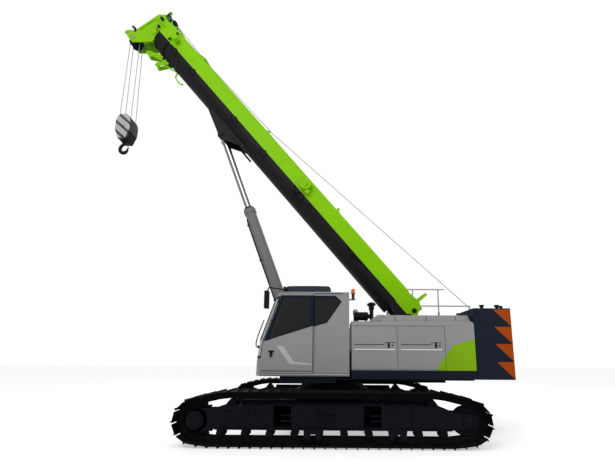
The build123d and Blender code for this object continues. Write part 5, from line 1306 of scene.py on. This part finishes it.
class CRANE_OT_studio(bpy.types.Operator):
    """Makes the floor, the lamps, the white surroundings and the camera"""

    bl_idname = "crane.studio"
    bl_label = "Studio"

    def execute(self, context):
        settings = context.scene.crane_studio
        floor = Shape().grid(
            np.stack(np.meshgrid((-60.0, 60.0), (-60.0, 60.0), (0.0,), indexing="ij"), axis=-1)[:, :, 0],
            wrap_columns=False,
        )
        floor_paint, tree, shader, where = new_material("studio_floor")
        tree.links.new(
            blend(tree, noise(tree, where, 0.3), (0.62, 0.62, 0.62), (0.66, 0.66, 0.66)), shader.inputs["Base Color"]
        )
        shader.inputs["Roughness"].default_value = 0.8
        shader.inputs["Emission Color"].default_value = (1, 1, 1, 1)
        shader.inputs["Emission Strength"].default_value = 0.42
        plane = floor.build("studio_floor", floor_paint)
        plane.location = (0, 0, -0.002)

        world = bpy.data.worlds.new("studio_sky")
        world.use_nodes = True
        tree = world.node_tree
        tree.nodes.clear()
        way = node(tree, "ShaderNodeTexCoord").outputs["Generated"]
        height = node(tree, "ShaderNodeSeparateXYZ", {0: way}).outputs[2]
        sky = blend(tree, ramp(tree, height, -0.3, 0.9), (0.55, 0.55, 0.57), (1.0, 1.0, 1.0))
        soft = node(tree, "ShaderNodeBackground", {"Color": sky, "Strength": settings.sky})
        white = node(tree, "ShaderNodeBackground", {"Color": (1, 1, 1, 1), "Strength": 1.0})
        seen = node(tree, "ShaderNodeLightPath").outputs["Is Camera Ray"]
        mixed = node(tree, "ShaderNodeMixShader", {0: seen, 1: soft.outputs[0], 2: white.outputs[0]})
        output = node(tree, "ShaderNodeOutputWorld")
        tree.links.new(mixed.outputs[0], output.inputs[0])
        context.scene.world = world

        for name, spot, target, size, power in (
            ("key_lamp", (5.0, 12.0, 13.0), (0.0, 0.0, 3.5), 9.0, settings.key),
            ("fill_lamp", (-9.0, 8.0, 7.0), (-1.0, 0.0, 2.5), 7.0, settings.key * 0.35),
            ("rim_lamp", (-3.0, -10.0, 15.0), (1.0, 0.0, 5.0), 8.0, settings.key * 0.5),
        ):
            lamp = bpy.data.lights.new(name, "AREA")
            lamp.shape = "DISK"
            lamp.size = size
            lamp.energy = power
            holder = bpy.data.objects.new(name, lamp)
            holder.location = spot
            holder.rotation_euler = (Vector(target) - Vector(spot)).to_track_quat("-Z", "Y").to_euler()
            context.scene.collection.objects.link(holder)

        camera = bpy.data.cameras.new("photo_camera")
        camera.sensor_width = 36.0
        camera.lens = settings.focal
        camera.shift_x, camera.shift_y = settings.shift
        camera.clip_end = 300.0
        holder = bpy.data.objects.new("photo_camera", camera)
        turn = (
            Matrix.Rotation(math.pi + settings.yaw, 4, "Z")
            @ Matrix.Rotation(math.pi / 2 + settings.pitch, 4, "X")
            @ Matrix.Rotation(settings.roll, 4, "Z")
        )
        holder.matrix_world = Matrix.Translation(settings.place) @ turn
        context.scene.collection.objects.link(holder)
        context.scene.camera = holder
        context.scene.view_settings.view_transform = "Standard"
        return {"FINISHED"}


OPERATORS = (
    CRANE_OT_finishes,
    CRANE_OT_boom_trim,
    CRANE_OT_boom_head,
    CRANE_OT_ropes,
    CRANE_OT_block,
    CRANE_OT_cylinder,
    CRANE_OT_cab,
    CRANE_OT_seat,
    CRANE_OT_hoods,
    CRANE_OT_undercarriage,
    CRANE_OT_upper,
    CRANE_OT_studio,
)


class CRANE_PT_panel(bpy.types.Panel):
    """Settings and makers of the crane's dressing"""

    bl_idname = "CRANE_PT_panel"
    bl_label = "Crane"
    bl_space_type = "VIEW_3D"
    bl_region_type = "UI"
    bl_category = "Crane"

    def draw(self, context):
        settings = context.scene.crane_studio
        for key in settings.bl_rna.properties.keys():
            if key not in {"rna_type", "name"}:
                self.layout.prop(settings, key)
        for operator in OPERATORS:
            self.layout.operator(operator.bl_idname)


CLASSES = (CraneStudio, *OPERATORS, CRANE_PT_panel)


def register():
    """Registers the classes and the scene's settings."""
    for cls in CLASSES:
        bpy.utils.register_class(cls)
    bpy.types.Scene.crane_studio = PointerProperty(type=CraneStudio)


def unregister():
    """Takes the settings and the classes away again."""
    del bpy.types.Scene.crane_studio
    for cls in reversed(CLASSES):
        bpy.utils.unregister_class(cls)


def main():
    """Makes everything, in order."""
    register()
    for operator in OPERATORS:
        group, name = operator.bl_idname.split(".")
        getattr(getattr(bpy.ops, group), name)()


if __name__ == "__main__":
    main()
